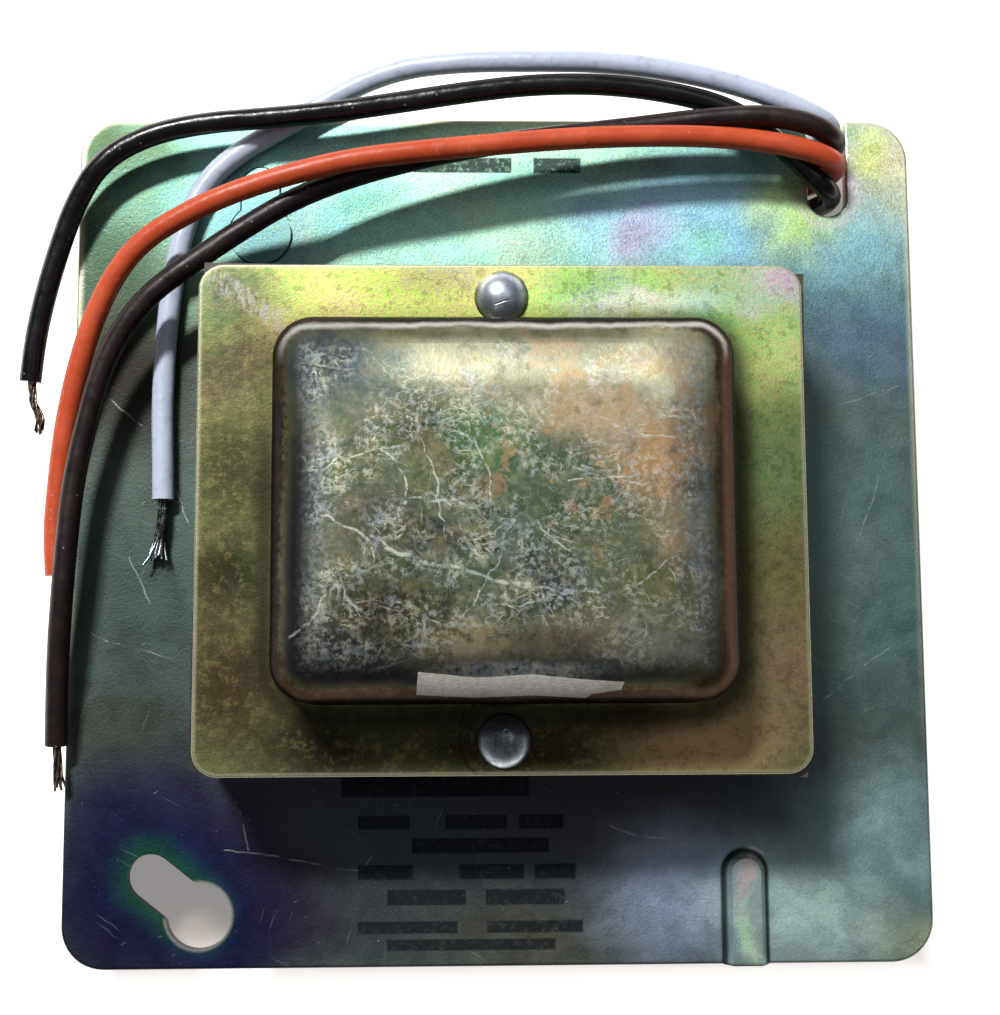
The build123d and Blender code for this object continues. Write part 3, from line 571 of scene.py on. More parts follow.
def write_flange_finish():
    """The can's flange: chromate film with painted light and shade in its colours, a rubbed corner, a bright cut lip
    and painted shade where it meets the cup.
    """
    material, r, shader, place = new_finish("chromate_flange")
    loose = r.use(wander, place, Coarse=5.0, Fine=2.4)
    parts = r.axes(place)
    flange = lay_patches(r, shade(120, 124, 80), loose, flange_tints_and_painted_light)
    spangle = r.noise(place, 2.6, 3.0, 0.65)
    drift = r.noise(place, 0.06, 3.0, 0.6)
    high = r.times(r.span(parts[1], 0.0, 24.0), r.span(parts[0], -32.0, -12.0, 0.5, 1.0))
    flange = lay_film(r, flange, r.plus(drift, r.times(spangle, 0.9)), high, (0.06, 0.16), (0.1, 0.6))
    mottle = r.noise(place, 0.9, 4.0, 0.72)
    flange = r.mix(r.span(mottle, 0.5, 0.66, 0.0, 0.3), flange, shade(150, 144, 88))
    flange = r.mix(r.span(mottle, 0.5, 0.36, 0.0, 0.35), flange, shade(44, 40, 24))
    rubbed = strew(r, 0.0, scratches, loose, "Size", [(1.1, 0.12, 2.0, 0.16, 0.4, (3.0, 5.0, 0.0), 0.2)])
    near = r.use(wander, place, Coarse=3.0, Fine=0.6)
    corner = r.use(stroke, near, From=(-31.4, 26.0, 0.0), To=(-24.2, 21.6, 0.0), Width=2.0)
    fuzz = r.noise(r.vector("MULTIPLY", near, (2.4, 0.9, 1.0)), 1.0, 4.0, 0.7)
    fuzz = r.times(r.span(fuzz, 0.44, 0.64), r.span(corner, 0.2, 0.9, 0.0, 0.8))
    flange = r.mix(r.larger(rubbed, fuzz), flange, shade(148, 144, 140))
    lip = r.use(outline_band, place, Inset=0.1, Width=0.55, **flange_outline)
    flange = r.mix(r.times(lip, 0.7), flange, shade(186, 186, 158))
    # Painted shade where the flange meets the cup, darker towards the bottom and the right
    seam_shade = r.use(outline_band, place, Inset=-1.6, Width=2.6, **can_outline)
    shaded = r.span(r.minus(parts[1], r.times(parts[0], 0.3)), 24.0, 12.0, 0.3, 0.8)
    flange = r.mix(r.times(seam_shade, shaded), flange, shade(38, 32, 20))
    grain = r.noise(place, 5.0, 2.0, 0.7)
    flange = darken_grain(r, flange, grain)
    relief = r.plus(r.times(grain, 0.5), r.times(spangle, 0.6))
    crease = r.use(ring_band, place, Centre=(0.9, -23.6, 0.0), Radius=5.4, Width=0.5)
    crease = r.times(crease, r.span(parts[0], -2.0, -3.6))
    normal = bump(r, relief, 0.03)
    normal = bump(r, crease, 0.12, normal)
    feed(r, shader, Base_Color=flange, Metallic=0.8, Roughness=r.span(grain, 0.3, 0.7, 0.4, 0.5), Normal=normal)
    return material


def write_cup_finish():
    """The drawn cup: film scored on top, rubbed to bare grey round its shoulders and brown down its walls, with painted
    light and shade on its top, shoulders and walls.
    """
    material, r, shader, place = new_finish("scored_cup")
    loose = r.use(wander, place, Coarse=5.0, Fine=2.4)
    near = r.use(wander, place, Coarse=1.6, Fine=0.5)
    parts = r.axes(place)

    top = lay_patches(r, shade(108, 106, 74), loose, top_tints_and_painted_light)
    mottle = r.noise(place, 0.45, 4.0, 0.65)
    top = r.mix(r.span(mottle, 0.45, 0.75, 0.0, 0.45), top, shade(150, 140, 92))
    top = r.mix(r.span(mottle, 0.5, 0.28, 0.0, 0.5), top, shade(52, 58, 42))

    for offset, scale, edge, tint, strength, middle in (
        ((3.0, 9.0, 0.0), 0.2, 0.53, shade(60, 84, 50), 0.55, (-6.0, 2.0, 0.0)),
        ((17.0, 2.0, 0.0), 0.22, 0.54, shade(186, 146, 100), 0.7, (12.0, 7.0, 0.0)),
        ((8.0, 21.0, 0.0), 0.3, 0.56, shade(40, 44, 34), 0.7, (-4.0, -6.0, 0.0)),
    ):
        field = r.noise(r.vector("ADD", loose, offset), scale, 5.0, 0.7)
        around = r.use(soft_patch, place, Centre=middle, Reach=(26.0, 18.0, 1000.0))
        there = r.times(r.span(field, edge, edge + 0.02), around)
        top = r.mix(r.times(there, strength), top, tint)

    haze = r.noise(place, 1.6, 5.0, 0.75)
    shoulder = r.use(outline_band, near, Inset=4.6, Width=2.6, **can_outline)
    sides = r.span(r.math("ABSOLUTE", parts[0]), 12.0, 20.0, 0.25, 1.0)
    rubbed = r.times(r.times(shoulder, r.span(haze, 0.36, 0.62)), sides)
    top = r.mix(r.times(rubbed, 0.8), top, shade(126, 134, 136))
    # Painted shade on the cup's shoulder, strongest towards the lower left
    shoulder_shade = r.use(outline_band, near, Inset=3.0, Width=2.6, **can_outline)
    low_left = r.span(r.plus(parts[0], r.times(parts[1], 1.6)), 14.0, -22.0, 0.2, 0.95)

    curved = r.use(wander, place, Coarse=6.0, Fine=0.9)
    marks = r.times(r.use(specks, near, Scale=1.1, Size=0.22, Cover=0.26), 0.8)
    marks = strew(r, marks, scratches, curved, "Size", [
        (0.2, 0.15, 1.7, 0.3, 0.24, (1.0, 2.0, 0.0), 1.0),
        (0.6, 0.7, 1.4, 0.34, 0.22, (3.0, 6.0, 0.0), 1.0),
        (1.1, 0.1, 1.8, 0.26, 0.22, (5.0, 1.0, 0.0), 1.0),
        (1.5, 0.24, 1.5, 0.28, 0.2, (9.0, 5.0, 0.0), 1.0),
        (2.3, 0.13, 1.7, 0.28, 0.22, (6.0, 7.0, 0.0), 1.0),
        (2.8, 0.07, 1.9, 0.24, 0.28, (7.0, 3.0, 0.0), 1.0),
    ])
    marks = strew(r, marks, hairlines, near, "Width", [
        (1.6, 0.6, 0.9, 0.022, 0.48, (5.0, 1.0, 8.0), 1.0),
        (0.5, 0.16, 0.34, 0.012, 0.5, (2.0, 6.0, 4.0), 1.0),
        (2.2, 0.22, 0.42, 0.014, 0.48, (8.0, 3.0, 1.0), 1.0),
    ])
    crumbly = r.span(r.noise(place, 2.4, 3.0, 0.7), 0.34, 0.56, 0.3, 1.15)
    dense = r.span(r.noise(place, 0.17, 3.0, 0.65), 0.38, 0.6, 0.14, 1.0)
    inside = r.span(r.use(outline_band, near, Inset=0.0, Width=6.5, **can_outline), 0.75, 0.1)
    marks = r.times(r.times(marks, dense), r.times(crumbly, inside))
    chalk = r.times(r.span(haze, 0.47, 0.62), r.span(dense, 0.14, 1.0, 0.1, 0.55))
    marks = r.larger(r.times(marks, 0.85), r.times(chalk, inside))
    shoulder_shade = r.times(shoulder_shade, low_left)
    top = r.mix(shoulder_shade, top, shade(36, 38, 42))
    marks = r.times(marks, r.minus(1.0, r.times(shoulder_shade, 0.7)))
    glue = r.use(soft_patch, near, Centre=(1.5, -16.9, 0.0), Reach=(13.0, 1.5, 1000.0))
    marks = r.larger(marks, r.times(r.times(glue, r.span(haze, 0.3, 0.6)), 0.7))
    broken = r.span(r.noise(place, 1.1, 3.0, 0.7), 0.4, 0.56, 0.1, 0.85)
    marks = add_scores(r, marks, curved, can_scores, broken, wider=1.15)
    pale = r.mix(r.span(mottle, 0.35, 0.65), shade(176, 186, 190), shade(222, 222, 204))
    top = r.mix(r.times(marks, 0.9), top, pale)

    # Wall colours with painted light and shade: darkest on the left wall, dark on the front, lighter on the right
    wall = lay_patches(r, shade(70, 58, 42), place, [
        (-24, 0, 7, 40, 0, (26, 20, 17), 0.95),
        (24, 2, 7, 40, 0, (74, 57, 48), 0.95),
        (0, -20, 40, 5, 0, (40, 27, 19), 0.95),
        (0, 20, 40, 5, 0, (60, 60, 60), 0.95),
    ])
    drawn = r.noise(r.vector("MULTIPLY", place, (0.7, 0.7, 0.05)), 1.0, 3.0, 0.6)
    wall = r.mix(r.span(drawn, 0.4, 0.8, 0.0, 0.25), wall, shade(104, 92, 80))
    brink = r.use(outline_band, near, Inset=0.0, Width=4.0, **can_outline)
    ragged = r.plus(brink, r.plus(r.span(haze, 0.3, 0.7, -0.1, 0.1), r.span(parts[0], 17.0, 22.0, 0.0, 0.3)))
    on_top = r.span(ragged, 0.8, 0.4)
    colour = r.mix(on_top, wall, top)
    # Painted highlight along the cup's back shoulder
    painted_gleam = r.use(outline_band, near, Inset=1.3, Width=0.6, **can_outline)
    colour = r.mix(r.times(painted_gleam, r.span(parts[1], 14.0, 19.0, 0.0, 0.7)), colour, shade(206, 208, 204))
    grain = r.noise(place, 5.0, 2.0, 0.7)
    colour = darken_grain(r, colour, grain)
    rough = r.plus(r.span(haze, 0.3, 0.7, 0.24, 0.3), r.times(on_top, 0.16))
    chalky = r.use(soft_patch, place, Centre=(-19.0, 15.0, 0.0), Reach=(12.0, 9.0, 1000.0))
    rough = r.plus(rough, r.times(chalky, 0.3))
    relief = r.times(r.plus(r.times(grain, 0.5), r.times(haze, 0.8)), on_top)
    pillow = {"Half_size": can_outline["Half_size"], "Corner": 9.0}
    crown = r.minus(1.0, r.use(outline_band, place, Inset=-2.0, Width=10.0, **pillow))
    normal = bump(r, relief, 0.02, bump(r, crown, 1.9))
    edge_tone = r.mix(on_top, (0.25, 0.22, 0.2, 1.0), (1.0, 1.0, 1.0, 1.0))
    feed(r, shader, Base_Color=colour, Metallic=0.8, Roughness=rough, Specular_Tint=edge_tone, Normal=normal)
    return material


def write_core_finish():
    """Varnished edges of the stamped core sheets: fine bright and dark lines with rust between them."""
    material, r, shader, place = new_finish("varnished_core")
    edges = r.noise(r.vector("MULTIPLY", place, (0.04, 0.04, 3.2)), 1.0, 3.0, 0.7)
    colour = r.ramp(edges, [(0.3, shade(20, 20, 22)), (0.5, shade(52, 51, 50)), (0.72, shade(112, 108, 100))])
    rust = r.span(r.noise(place, 0.5, 4.0, 0.65), 0.56, 0.74, 0.0, 0.7)
    colour = r.mix(rust, colour, shade(92, 52, 30))
    drips = r.span(r.noise(r.vector("MULTIPLY", place, (0.5, 0.5, 0.06)), 1.0, 3.0, 0.6), 0.5, 0.7, 0.0, 0.5)
    colour = r.mix(drips, colour, shade(30, 22, 14))
    normal = bump(r, edges, 0.03)
    feed(r, shader, Base_Color=colour, Metallic=0.45, Roughness=r.span(edges, 0.3, 0.7, 0.55, 0.36), Normal=normal)
    return material


def write_rivet_finish():
    """Zinc-plated steel rivet heads with tool scars, painted shade round their feet and over the lower rivet, and a
    bright rubbed crown.
    """
    material, r, shader, place = new_finish("rivet_zinc")
    near = r.use(wander, place, Coarse=1.2, Fine=0.5)
    smudge = r.noise(near, 0.75, 4.0, 0.6)
    colour = r.ramp(smudge, [(0.3, shade(138, 148, 162)), (0.5, shade(184, 194, 206)), (0.7, shade(222, 228, 232))])
    parts = r.axes(place)
    # Painted shade round the rivet's foot, where it meets the flange
    foot = r.span(parts[2], flange_top + 1.0, flange_top, 0.0, 0.8)
    colour = r.mix(foot, colour, shade(46, 50, 56))
    scars = add_scores(r, 0.0, near, [
        (-0.7, 23.1, 0.9, 23.6, 0.12),
        (0.3, -24.9, 0.3, -23.2, 0.34),
        (-0.9, -23.6, -0.9, -25.4, 0.2),
    ])
    # Painted shade over the lower rivet
    bottom_rivet_shade = r.use(soft_patch, near, Centre=(0.0, -24.2, 0.0), Reach=(3.6, 3.6, 1000.0))
    colour = r.mix(r.times(bottom_rivet_shade, 0.72), colour, shade(52, 58, 60))
    colour = r.mix(r.times(scars, 0.4), colour, shade(40, 44, 50))
    fine = strew(r, 0.0, hairlines, place, "Width", [(0.5, 0.6, 5.0, 0.05, 0.55, (2.0, 4.0, 6.0), 0.35)])
    colour = r.mix(fine, colour, shade(214, 220, 224))
    normal = bump(r, smudge, 0.05)
    normal = bump(r, scars, -0.03, normal)
    feed(r, shader, Base_Color=colour, Metallic=0.9, Roughness=r.span(smudge, 0.3, 0.7, 0.42, 0.3), Normal=normal)
    return material


def write_lead_finish(name, skin, rubbed, roughness, soil, gloss=0.5):
    """Extruded insulation: a slight pull along it, rub marks, dust and a soft gloss."""
    material, r, shader, place = new_finish(name)
    cloud = r.noise(place, 0.16, 4.0, 0.6)
    colour = r.mix(r.span(cloud, 0.4, 0.7, 0.0, 0.55), skin, rubbed)
    grime = r.times(r.span(r.noise(place, 0.7, 4.0, 0.7), 0.5, 0.75), soil)
    colour = r.mix(grime, colour, shade(70, 62, 56))
    dust = r.use(specks, place, Scale=0.8, Size=0.14, Cover=0.25)
    colour = r.mix(r.times(dust, 0.3), colour, shade(190, 186, 178))
    skin_grain = r.noise(place, 3.0, 3.0, 0.6)
    dents = r.noise(place, 0.35, 2.0, 0.5)
    normal = bump(r, dents, 0.16)
    normal = bump(r, skin_grain, 0.02, normal)
    rough = r.plus(r.span(cloud, 0.3, 0.7, roughness - 0.06, roughness + 0.08), r.times(dust, 0.2))
    feed(r, shader, Base_Color=colour, Roughness=rough, Specular_IOR_Level=gloss, Normal=normal)
    return material


def write_wire_finish(name, dark, mid, bright, frayed_below=-1000.0):
    """Bare stranded wire: dull in its valleys and bright past frayed_below, where a strand was cut."""
    material, r, shader, place = new_finish(name)
    tarnish = r.noise(place, 1.4, 3.0, 0.6)
    colour = r.ramp(tarnish, [(0.32, dark), (0.5, mid), (0.66, bright)])
    level = r.axes(place)[1]
    colour = r.mix(r.span(level, frayed_below + 0.4, frayed_below - 0.4), colour, bright)
    normal = bump(r, r.noise(place, 9.0, 2.0, 0.5), 0.01)
    feed(r, shader, Base_Color=colour, Metallic=0.85, Roughness=r.span(tarnish, 0.3, 0.7, 0.42, 0.22), Normal=normal)
    return material


def write_paper_finish():
    """The torn strip of label paper: grey fibres, a yellowed edge and stains."""
    material, r, shader, place = new_finish("torn_paper")
    fibre = r.noise(r.vector("MULTIPLY", place, (1.0, 3.5, 3.5)), 1.6, 5.0, 0.75)
    colour = r.ramp(fibre, [(0.3, shade(128, 124, 118)), (0.6, shade(172, 169, 163))])
    stain = r.span(r.noise(place, 0.25, 3.0, 0.6), 0.45, 0.7, 0.0, 0.5)
    colour = r.mix(stain, colour, shade(128, 120, 110))
    feed(r, shader, Base_Color=colour, Roughness=0.85, Normal=bump(r, fibre, 0.03))
    return material


def write_sheet_finish(name, light, dark, roughness, grain_stretch=(1.0, 1.0, 1.0)):
    """Plain insulating board, tape or moulding: a two-tone grain and a light relief."""
    material, r, shader, place = new_finish(name)
    fibre = r.noise(r.vector("MULTIPLY", place, grain_stretch), 1.1, 4.0, 0.65)
    colour = r.ramp(fibre, [(0.3, dark), (0.68, light)])
    spots = r.use(specks, place, Scale=0.6, Size=0.2, Cover=0.3)
    colour = r.mix(r.times(spots, 0.35), colour, dark)
    feed(r, shader, Base_Color=colour, Roughness=roughness, Normal=bump(r, fibre, 0.03))
    return material


def write_winding_finish():
    """Enamelled wire laid turn beside turn along the coil's axis."""
    material, r, shader, place = new_finish("enamelled_winding")
    inputs = {"Vector": place, "Scale": 0.62, "Distortion": 0.25, "Detail": 1.0}
    turns = r.node("ShaderNodeTexWave", inputs, wave_type="BANDS", bands_direction="Y").outputs[1]
    colour = r.ramp(turns, [(0.1, shade(70, 26, 12)), (0.6, shade(168, 84, 40)), (0.95, shade(214, 132, 72))])
    feed(r, shader, Base_Color=colour, Metallic=0.8, Roughness=0.32, Normal=bump(r, turns, 0.15))
    return material


finishes = {
    "mounting_plate": write_plate_finish(),
    "can_cover": write_cup_finish(),
    "can_liner": write_sheet_finish("liner_board", shade(118, 110, 92), shade(84, 76, 62), 0.8, (0.4, 2.0, 2.0)),
    "e_laminations": write_core_finish(),
    "coil_bobbin": write_sheet_finish("bobbin_nylon", shade(226, 222, 204), shade(206, 200, 178), 0.45),
    "primary_winding": write_winding_finish(),
    "winding_insulation": write_sheet_finish(
        "winding_paper", shade(196, 178, 140), shade(164, 144, 108), 0.8, (2.0, 0.4, 2.0)
    ),
    "coil_wrap": write_sheet_finish("varnished_tape", shade(206, 172, 74), shade(158, 120, 44), 0.4, (2.2, 0.3, 2.2)),
    "rivet_top": write_rivet_finish(),
    "label_scrap": write_paper_finish(),
}
finishes["i_laminations"] = finishes["e_laminations"]
finishes["secondary_winding"] = finishes["primary_winding"]
finishes["rivet_bottom"] = finishes["rivet_top"]
for name, finish in finishes.items():
    part = nodes[name]
    part.data.materials.clear()
    part.data.materials.append(finish)
can = nodes["can_cover"].data
can.materials.append(write_flange_finish())
for face in can.polygons:
    face.material_index = 1 if face.center.z < (flange_top + 0.35) * MM else 0


lead_routes = {
    "lead_black": [
        (18.27, 15.29, -5.6), (18.35, 19.69, -5.6), (19.4, 25.0, -5.5), (22.8, 30.5, -5.6), (27.6, 35.6, -5.6),
        (32.6, 39.3, -5.5), (37.0, 40.5, -4.7), (40.0, 40.8, -2.2), (41.1, 40.8, 0.9), (40.8, 41.0, 3.2),
        (39.2, 41.9, 4.6), (36.6, 44.3, 5.0), (33.0, 47.8, 5.0), (28.2, 51.0, 5.4), (21.6, 52.7, 5.8),
        (13.1, 53.7, 6.0), (4.5, 53.6, 6.0), (-3.5, 52.6, 6.0), (-11.7, 51.3, 5.9), (-19.5, 50.1, 5.9),
        (-27.5, 49.3, 5.8), (-35.0, 48.7, 5.8), (-41.9, 47.2, 5.7), (-47.4, 44.1, 5.3), (-50.5, 39.1, 4.6),
        (-52.7, 33.0, 3.8), (-54.4, 27.0, 3.2), (-55.4, 21.9, 2.8), (-55.8, 17.8, 2.5),
    ],
    "lead_orange": [
        (14.27, 15.36, -5.6), (14.36, 20.55, -5.6), (15.8, 26.8, -5.7), (20.2, 33.2, -5.6), (26.2, 39.2, -5.6),
        (32.2, 42.8, -5.5), (37.0, 43.8, -4.7), (40.0, 44.0, -2.2), (41.2, 44.0, 1.2), (41.3, 44.0, 4.4),
        (40.2, 44.1, 6.8), (37.2, 44.9, 7.9), (31.9, 46.0, 7.9), (24.2, 46.4, 8.4), (15.6, 46.1, 9.1),
        (7.2, 45.5, 9.6), (-1.0, 44.6, 10.1), (-9.4, 43.5, 10.9), (-17.3, 42.4, 11.2), (-24.9, 40.5, 11.0),
        (-31.5, 38.5, 10.3), (-37.1, 36.1, 9.4), (-41.9, 33.2, 8.6), (-45.3, 29.1, 7.6), (-48.0, 23.5, 6.4),
        (-50.0, 16.9, 5.2), (-51.3, 10.6, 4.2), (-52.0, 4.1, 3.5), (-52.4, -0.6, 3.0), (-52.0, -5.3, 3.0),
    ],
    "lead_brown": [
        (10.27, 15.43, -5.6), (10.38, 21.43, -5.6), (12.2, 28.6, -5.5), (17.4, 35.8, -5.6), (24.6, 42.1, -5.6),
        (31.8, 45.6, -5.5), (37.0, 46.5, -4.7), (40.0, 46.7, -2.2), (41.2, 46.7, 1.2), (41.3, 46.8, 4.4),
        (40.3, 47.1, 6.8), (37.4, 48.2, 8.0), (32.2, 49.2, 8.0), (24.7, 48.9, 7.3), (16.1, 48.0, 6.6),
        (6.8, 46.8, 6.9), (-2.1, 45.4, 7.4), (-10.2, 43.5, 7.8), (-17.5, 41.3, 8.2), (-24.2, 38.4, 8.7),
        (-30.1, 34.5, 9.3), (-35.2, 30.8, 9.6), (-40.3, 27.2, 9.2), (-43.7, 23.1, 8.6), (-46.2, 18.2, 8.0),
        (-47.9, 11.8, 7.4), (-49.3, 5.4, 7.0), (-50.0, -2.1, 6.8), (-50.6, -10.1, 6.2), (-51.1, -17.5, 5.0),
        (-51.3, -25.0, 3.8),
    ],
    "lead_white": [
        (6.27, 15.50, -5.6), (6.39, 22.49, -5.6), (8.6, 30.8, -5.7), (14.6, 38.6, -5.6), (23.0, 45.2, -5.6),
        (31.4, 48.4, -5.5), (37.0, 49.2, -4.7), (40.0, 49.4, -2.2), (41.2, 49.4, 1.2), (40.9, 49.4, 3.6),
        (39.2, 49.9, 5.2), (35.6, 51.6, 5.5), (29.0, 54.1, 5.2), (21.4, 55.8, 5.3), (12.6, 56.75, 5.4),
        (4.1, 56.77, 5.4), (-4.5, 56.75, 5.1), (-12.1, 56.1, 4.3), (-18.9, 53.5, 3.4), (-25.2, 49.6, 3.0),
        (-31.5, 46.0, 3.0), (-35.5, 42.1, 3.0), (-37.9, 36.5, 3.0), (-39.2, 28.9, 3.0), (-39.8, 21.6, 3.0),
        (-40.0, 14.3, 3.0), (-39.8, 8.8, 3.0), (-39.7, 3.6, 3.0),
    ],
}

lead_finishes = {
    "lead_black": write_lead_finish("black_insulation", shade(6, 7, 9), shade(15, 16, 20), 0.22, 0.12, 0.45),
    "lead_orange": write_lead_finish("orange_insulation", shade(190, 74, 40), shade(208, 92, 54), 0.4, 0.25, 0.4),
    "lead_brown": write_lead_finish("brown_insulation", shade(28, 18, 18), shade(42, 29, 28), 0.38, 0.25, 0.3),
    "lead_white": write_lead_finish("white_insulation", shade(190, 199, 218), shade(174, 184, 206), 0.34, 0.25),
}

# Bare ends: node, strands, length, spread, twist in degrees and the middle line from the cut on
wire_ends = {
    "lead_black": (
        "strands_black", 9, 7.2, 0.45, 260.0,
        [ORIGIN, (0.35, -2.2, -0.1), (1.5, -4.4, 0.1), (1.1, -6.6, -0.2)],
    ),
    "lead_orange": (
        "strands_orange", 9, 6.0, 0.4, 200.0,
        [ORIGIN, (0.05, -2.0, 0.0), (0.2, -4.0, 0.0), (0.25, -6.0, 0.1)],
    ),
    "lead_brown": (
        "strands_brown", 9, 5.4, 0.4, 160.0,
        [ORIGIN, (0.05, -1.8, -0.3), (0.3, -3.6, -0.6), (0.4, -5.3, -0.8)],
    ),
    "lead_white": (
        "strands_white", 13, 7.6, 0.8, 60.0,
        [ORIGIN, (0.0, -2.4, 0.0), (-0.4, -5.0, 0.0), (-0.7, -7.4, 0.1)],
    ),
}


def lay_lead(name, points):
    """A lead as one smooth tube along its route."""
    curve = bpy.data.curves.new(name + "_wire", "CURVE")
    curve.dimensions = "3D"
    curve.resolution_u = 10
    curve.bevel_resolution = 5
    curve.use_fill_caps = True
    line = curve.splines.new("NURBS")
    line.points.add(len(points) - 1)
    for point, place in zip(line.points, points):
        point.co = (place[0] * MM, place[1] * MM, place[2] * MM, 1.0)
        point.radius = lead_diameter / 2 * MM
    line.order_u = 3
    line.use_endpoint_u = True
    lead = bpy.data.objects.new(name + "_wire", curve)
    bpy.context.scene.collection.objects.link(lead)
    bpy.context.view_layer.update()
    bare = bpy.data.meshes.new_from_object(lead.evaluated_get(bpy.context.evaluated_depsgraph_get()))
    followed = [vertex.co.copy() for vertex in bare.vertices]
    bpy.data.meshes.remove(bare)
    curve.bevel_depth = 1.0
    lead.data.materials.append(lead_finishes[name])
    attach(lead, "root")
    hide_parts(name)
    return lead, followed


def bare_end(lead_name, tip, back):
    """The twisted and frayed strands that stick out of a lead's cut end, one thin tube each."""
    node, count, length, spread, twist, axis = wire_ends[lead_name]
    dice = random.Random(lead_name)
    curve = bpy.data.curves.new(node + "_wires", "CURVE")
    curve.dimensions = "3D"
    curve.resolution_u = 6
    curve.bevel_resolution = 2
    curve.bevel_depth = 1.0
    curve.use_fill_caps = True
    start = tip - (tip - back).normalized() * 1.2 * MM
    for strand in range(count):
        ring = 0 if strand == 0 else (1 if strand < 6 else 2)
        angle = 2 * math.pi * strand / (5 if ring == 1 else 7) + dice.uniform(-0.2, 0.2)
        reach = length * dice.uniform(0.84, 1.0)
        bent = node == "strands_white" and strand == count - 1
        line = curve.splines.new("NURBS")
        steps = 8
        line.points.add(steps)
        loose = dice.uniform(0.0, 1.0) ** 2
        flare = dice.uniform(0.0, 2 * math.pi)
        for step in range(steps + 1):
            share = step / steps * reach / length
            place = share * (len(axis) - 1)
            index = min(int(place), len(axis) - 2)
            near = Vector(axis[index]).lerp(Vector(axis[index + 1]), place - index)
            around = math.radians(50.0 if bent else twist * share) + (0.0 if bent else angle)
            wide = (0.0, 0.27, 0.46)[ring] * (1.0 + spread * share ** 3)
            side = Vector((math.cos(around) * wide, 0.0, math.sin(around) * wide))
            fray = Vector((math.cos(flare), -0.3, math.sin(flare))) * loose * share ** 5 * spread * 2.4
            ground = plate_top + 0.2 if abs(tip.x) < plate_half * MM else -1000.0
            spot = (near + side + fray) * MM + (start if step == 0 else tip)
            spot.z = max(spot.z, ground * MM)
            line.points[step].co = (*spot, 1.0)
            line.points[step].radius = strand_radius * MM * (1.6 if bent else 1.0)
        line.order_u = 3
        line.use_endpoint_u = True
        line.material_index = int(bent)
    wires = bpy.data.objects.new(node + "_wires", curve)
    bpy.context.scene.collection.objects.link(wires)
    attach(wires, "root")
    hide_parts(node)
    return wires


# The white lead's tinned strands: dark tones that partly stand for painted shade, and a bright copy as a painted
# highlight on its one bent strand
tinned_wire = write_wire_finish("tinned_wire", shade(22, 21, 20), shade(56, 54, 52), shade(160, 168, 174), -1.6)
lit_strand_wire = write_wire_finish("lit_tinned_wire", shade(150, 158, 158), shade(196, 204, 204), shade(224, 230, 228))
copper_wire = write_wire_finish("dull_copper_wire", shade(32, 27, 24), shade(96, 84, 74), shade(196, 186, 172))
for name, route in lead_routes.items():
    lead, followed = lay_lead(name, route)
    exit_point = Vector(route[0]) * MM
    if (followed[0] - exit_point).length > (followed[-1] - exit_point).length:
        followed.reverse()
    tip, back = followed[-1], followed[-3]
    wires = bare_end(name, tip, back)
    wires.data.materials.append(tinned_wire if name == "lead_white" else copper_wire)
    if name == "lead_white":
        wires.data.materials.append(lit_strand_wire)


def lay_floor():
    """A pale table top that stays white to the camera and keeps the part's shadow, with painted shade under the plate,
    where its colour and glow are darker.
    """
    mesh = bpy.data.meshes.new("table_top")
    rows = 12
    size = 1.6
    corners = [
        ((column / rows - 0.5) * size, (row / rows - 0.5) * size, floor_level * MM)
        for row in range(rows + 1)
        for column in range(rows + 1)
    ]
    tiles = []
    for row in range(rows):
        for column in range(rows):
            first = row * (rows + 1) + column
            tiles.append((first, first + 1, first + rows + 2, first + rows + 1))
    mesh.from_pydata(corners, [], tiles)
    table = bpy.data.objects.new("table_top", mesh)
    bpy.context.scene.collection.objects.link(table)
    material = bpy.data.materials.new("pale_table")
    material.use_nodes = True
    tree = material.node_tree
    tree.nodes.clear()
    r = Recipe(tree)
    spot = r.axes(r.vector("ABSOLUTE", r.node("ShaderNodeTexCoord").outputs["Object"]))
    # Painted shade: the table is darker in colour and glow under the plate than round it
    around = r.span(r.larger(spot[0], spot[1]), (plate_half - 4.0) * MM, (plate_half + 6.0) * MM)
    paper = r.node("ShaderNodeBsdfDiffuse", {"Color": r.mix(around, shade(116, 106, 98), shade(236, 228, 220))})
    strength = r.span(around, 0.0, 1.0, 0.27, 1.0)
    glow = r.node("ShaderNodeEmission", {"Color": (1.0, 0.97, 0.95, 1.0), "Strength": strength})
    rays = r.node("ShaderNodeLightPath").outputs
    seen = r.larger(rays["Is Camera Ray"], r.larger(rays["Is Glossy Ray"], rays["Is Transmission Ray"]))
    dark = r.node("ShaderNodeEmission", {"Color": (0.0, 0.0, 0.0, 1.0), "Strength": 0.0})
    lift = r.node("ShaderNodeMixShader", {0: seen, 1: dark.outputs[0], 2: glow.outputs[0]})
    both = r.node("ShaderNodeAddShader", {0: paper.outputs[0], 1: lift.outputs[0]})
    leave = r.node("ShaderNodeOutputMaterial")
    tree.links.new(both.outputs[0], leave.inputs[0])
    mesh.materials.append(material)


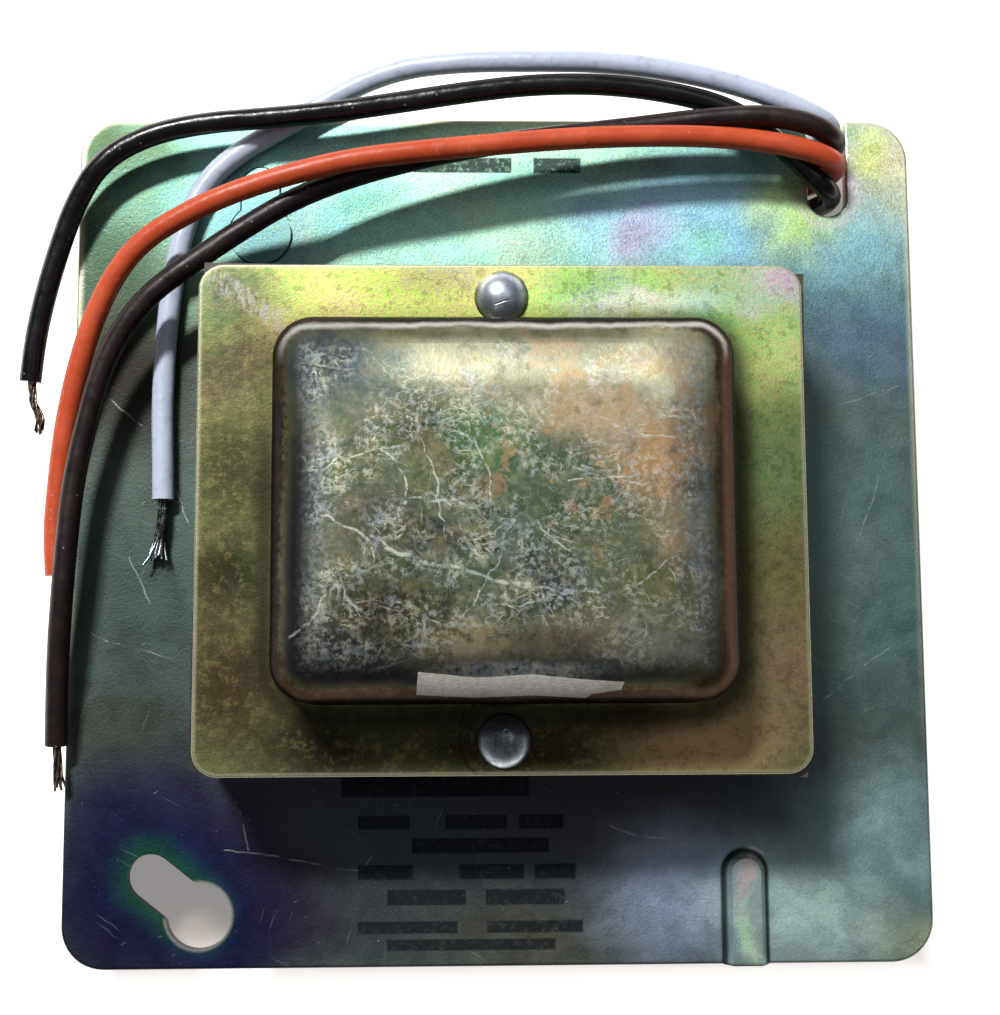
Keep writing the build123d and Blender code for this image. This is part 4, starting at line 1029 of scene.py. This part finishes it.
def set_sky():
    """A pale room: bright overhead and at the window wall, dimmer high on its other walls."""
    world = bpy.data.worlds.new("pale_room")
    bpy.context.scene.world = world
    world.use_nodes = True
    tree = world.node_tree
    tree.nodes.clear()
    r = Recipe(tree)
    aim = r.node("ShaderNodeTexCoord").outputs["Generated"]
    rise = r.axes(aim)[2]
    wall = (0.1, 0.1, 0.11, 1.0)
    level = r.ramp(rise, [(0.1, (0.4, 0.4, 0.4, 1.0)), (0.28, wall), (0.75, wall), (0.95, (0.2, 0.2, 0.22, 1.0))])
    toward = r.span(r.vector("DOT_PRODUCT", aim, (-0.2, 0.8, 0.57), out="Value"), 0.55, 1.0, 0.0, 0.14)
    window = r.node("ShaderNodeCombineColor", {0: toward, 1: toward, 2: toward}).outputs[0]
    back = r.node("ShaderNodeBackground", {"Color": r.mix(1.0, level, window, "ADD"), "Strength": 1.0})
    leave = r.node("ShaderNodeOutputWorld")
    tree.links.new(back.outputs[0], leave.inputs[0])


def hang_lamp(name, place, aim, width, height, power, colour):
    lamp = bpy.data.lights.new(name, "AREA")
    lamp.shape = "RECTANGLE"
    lamp.size = width
    lamp.size_y = height
    lamp.energy = power
    lamp.color = colour
    hung = bpy.data.objects.new(name, lamp)
    hung.location = place
    hung.rotation_euler = (Vector(aim) - Vector(place)).to_track_quat("-Z", "Y").to_euler()
    bpy.context.scene.collection.objects.link(hung)


def set_camera():
    """The photograph's viewpoint: almost straight above, a little left of and below the middle."""
    lens = bpy.data.cameras.new("viewpoint")
    lens.sensor_width = 36.0
    lens.lens = focal_length
    lens.clip_start = 0.01
    camera = bpy.data.objects.new("viewpoint", lens)
    camera.location = camera_place
    camera.rotation_euler = tuple(math.radians(angle) for angle in camera_turn)
    bpy.context.scene.collection.objects.link(camera)
    bpy.context.scene.camera = camera


lay_floor()
set_sky()
set_camera()
hang_lamp("window", (-0.27, 0.5, 0.7), (0.0, 0.0, 0.01), 0.2, 0.07, 10.0, (1.0, 0.99, 0.97))
hang_lamp("ceiling", (0.3, 0.3, 0.85), (0.0, 0.0, 0.0), 0.5, 0.3, 0.4, (0.95, 0.98, 1.0))
bpy.context.scene.view_settings.view_transform = "Standard"

bpy.context.view_layer.update()
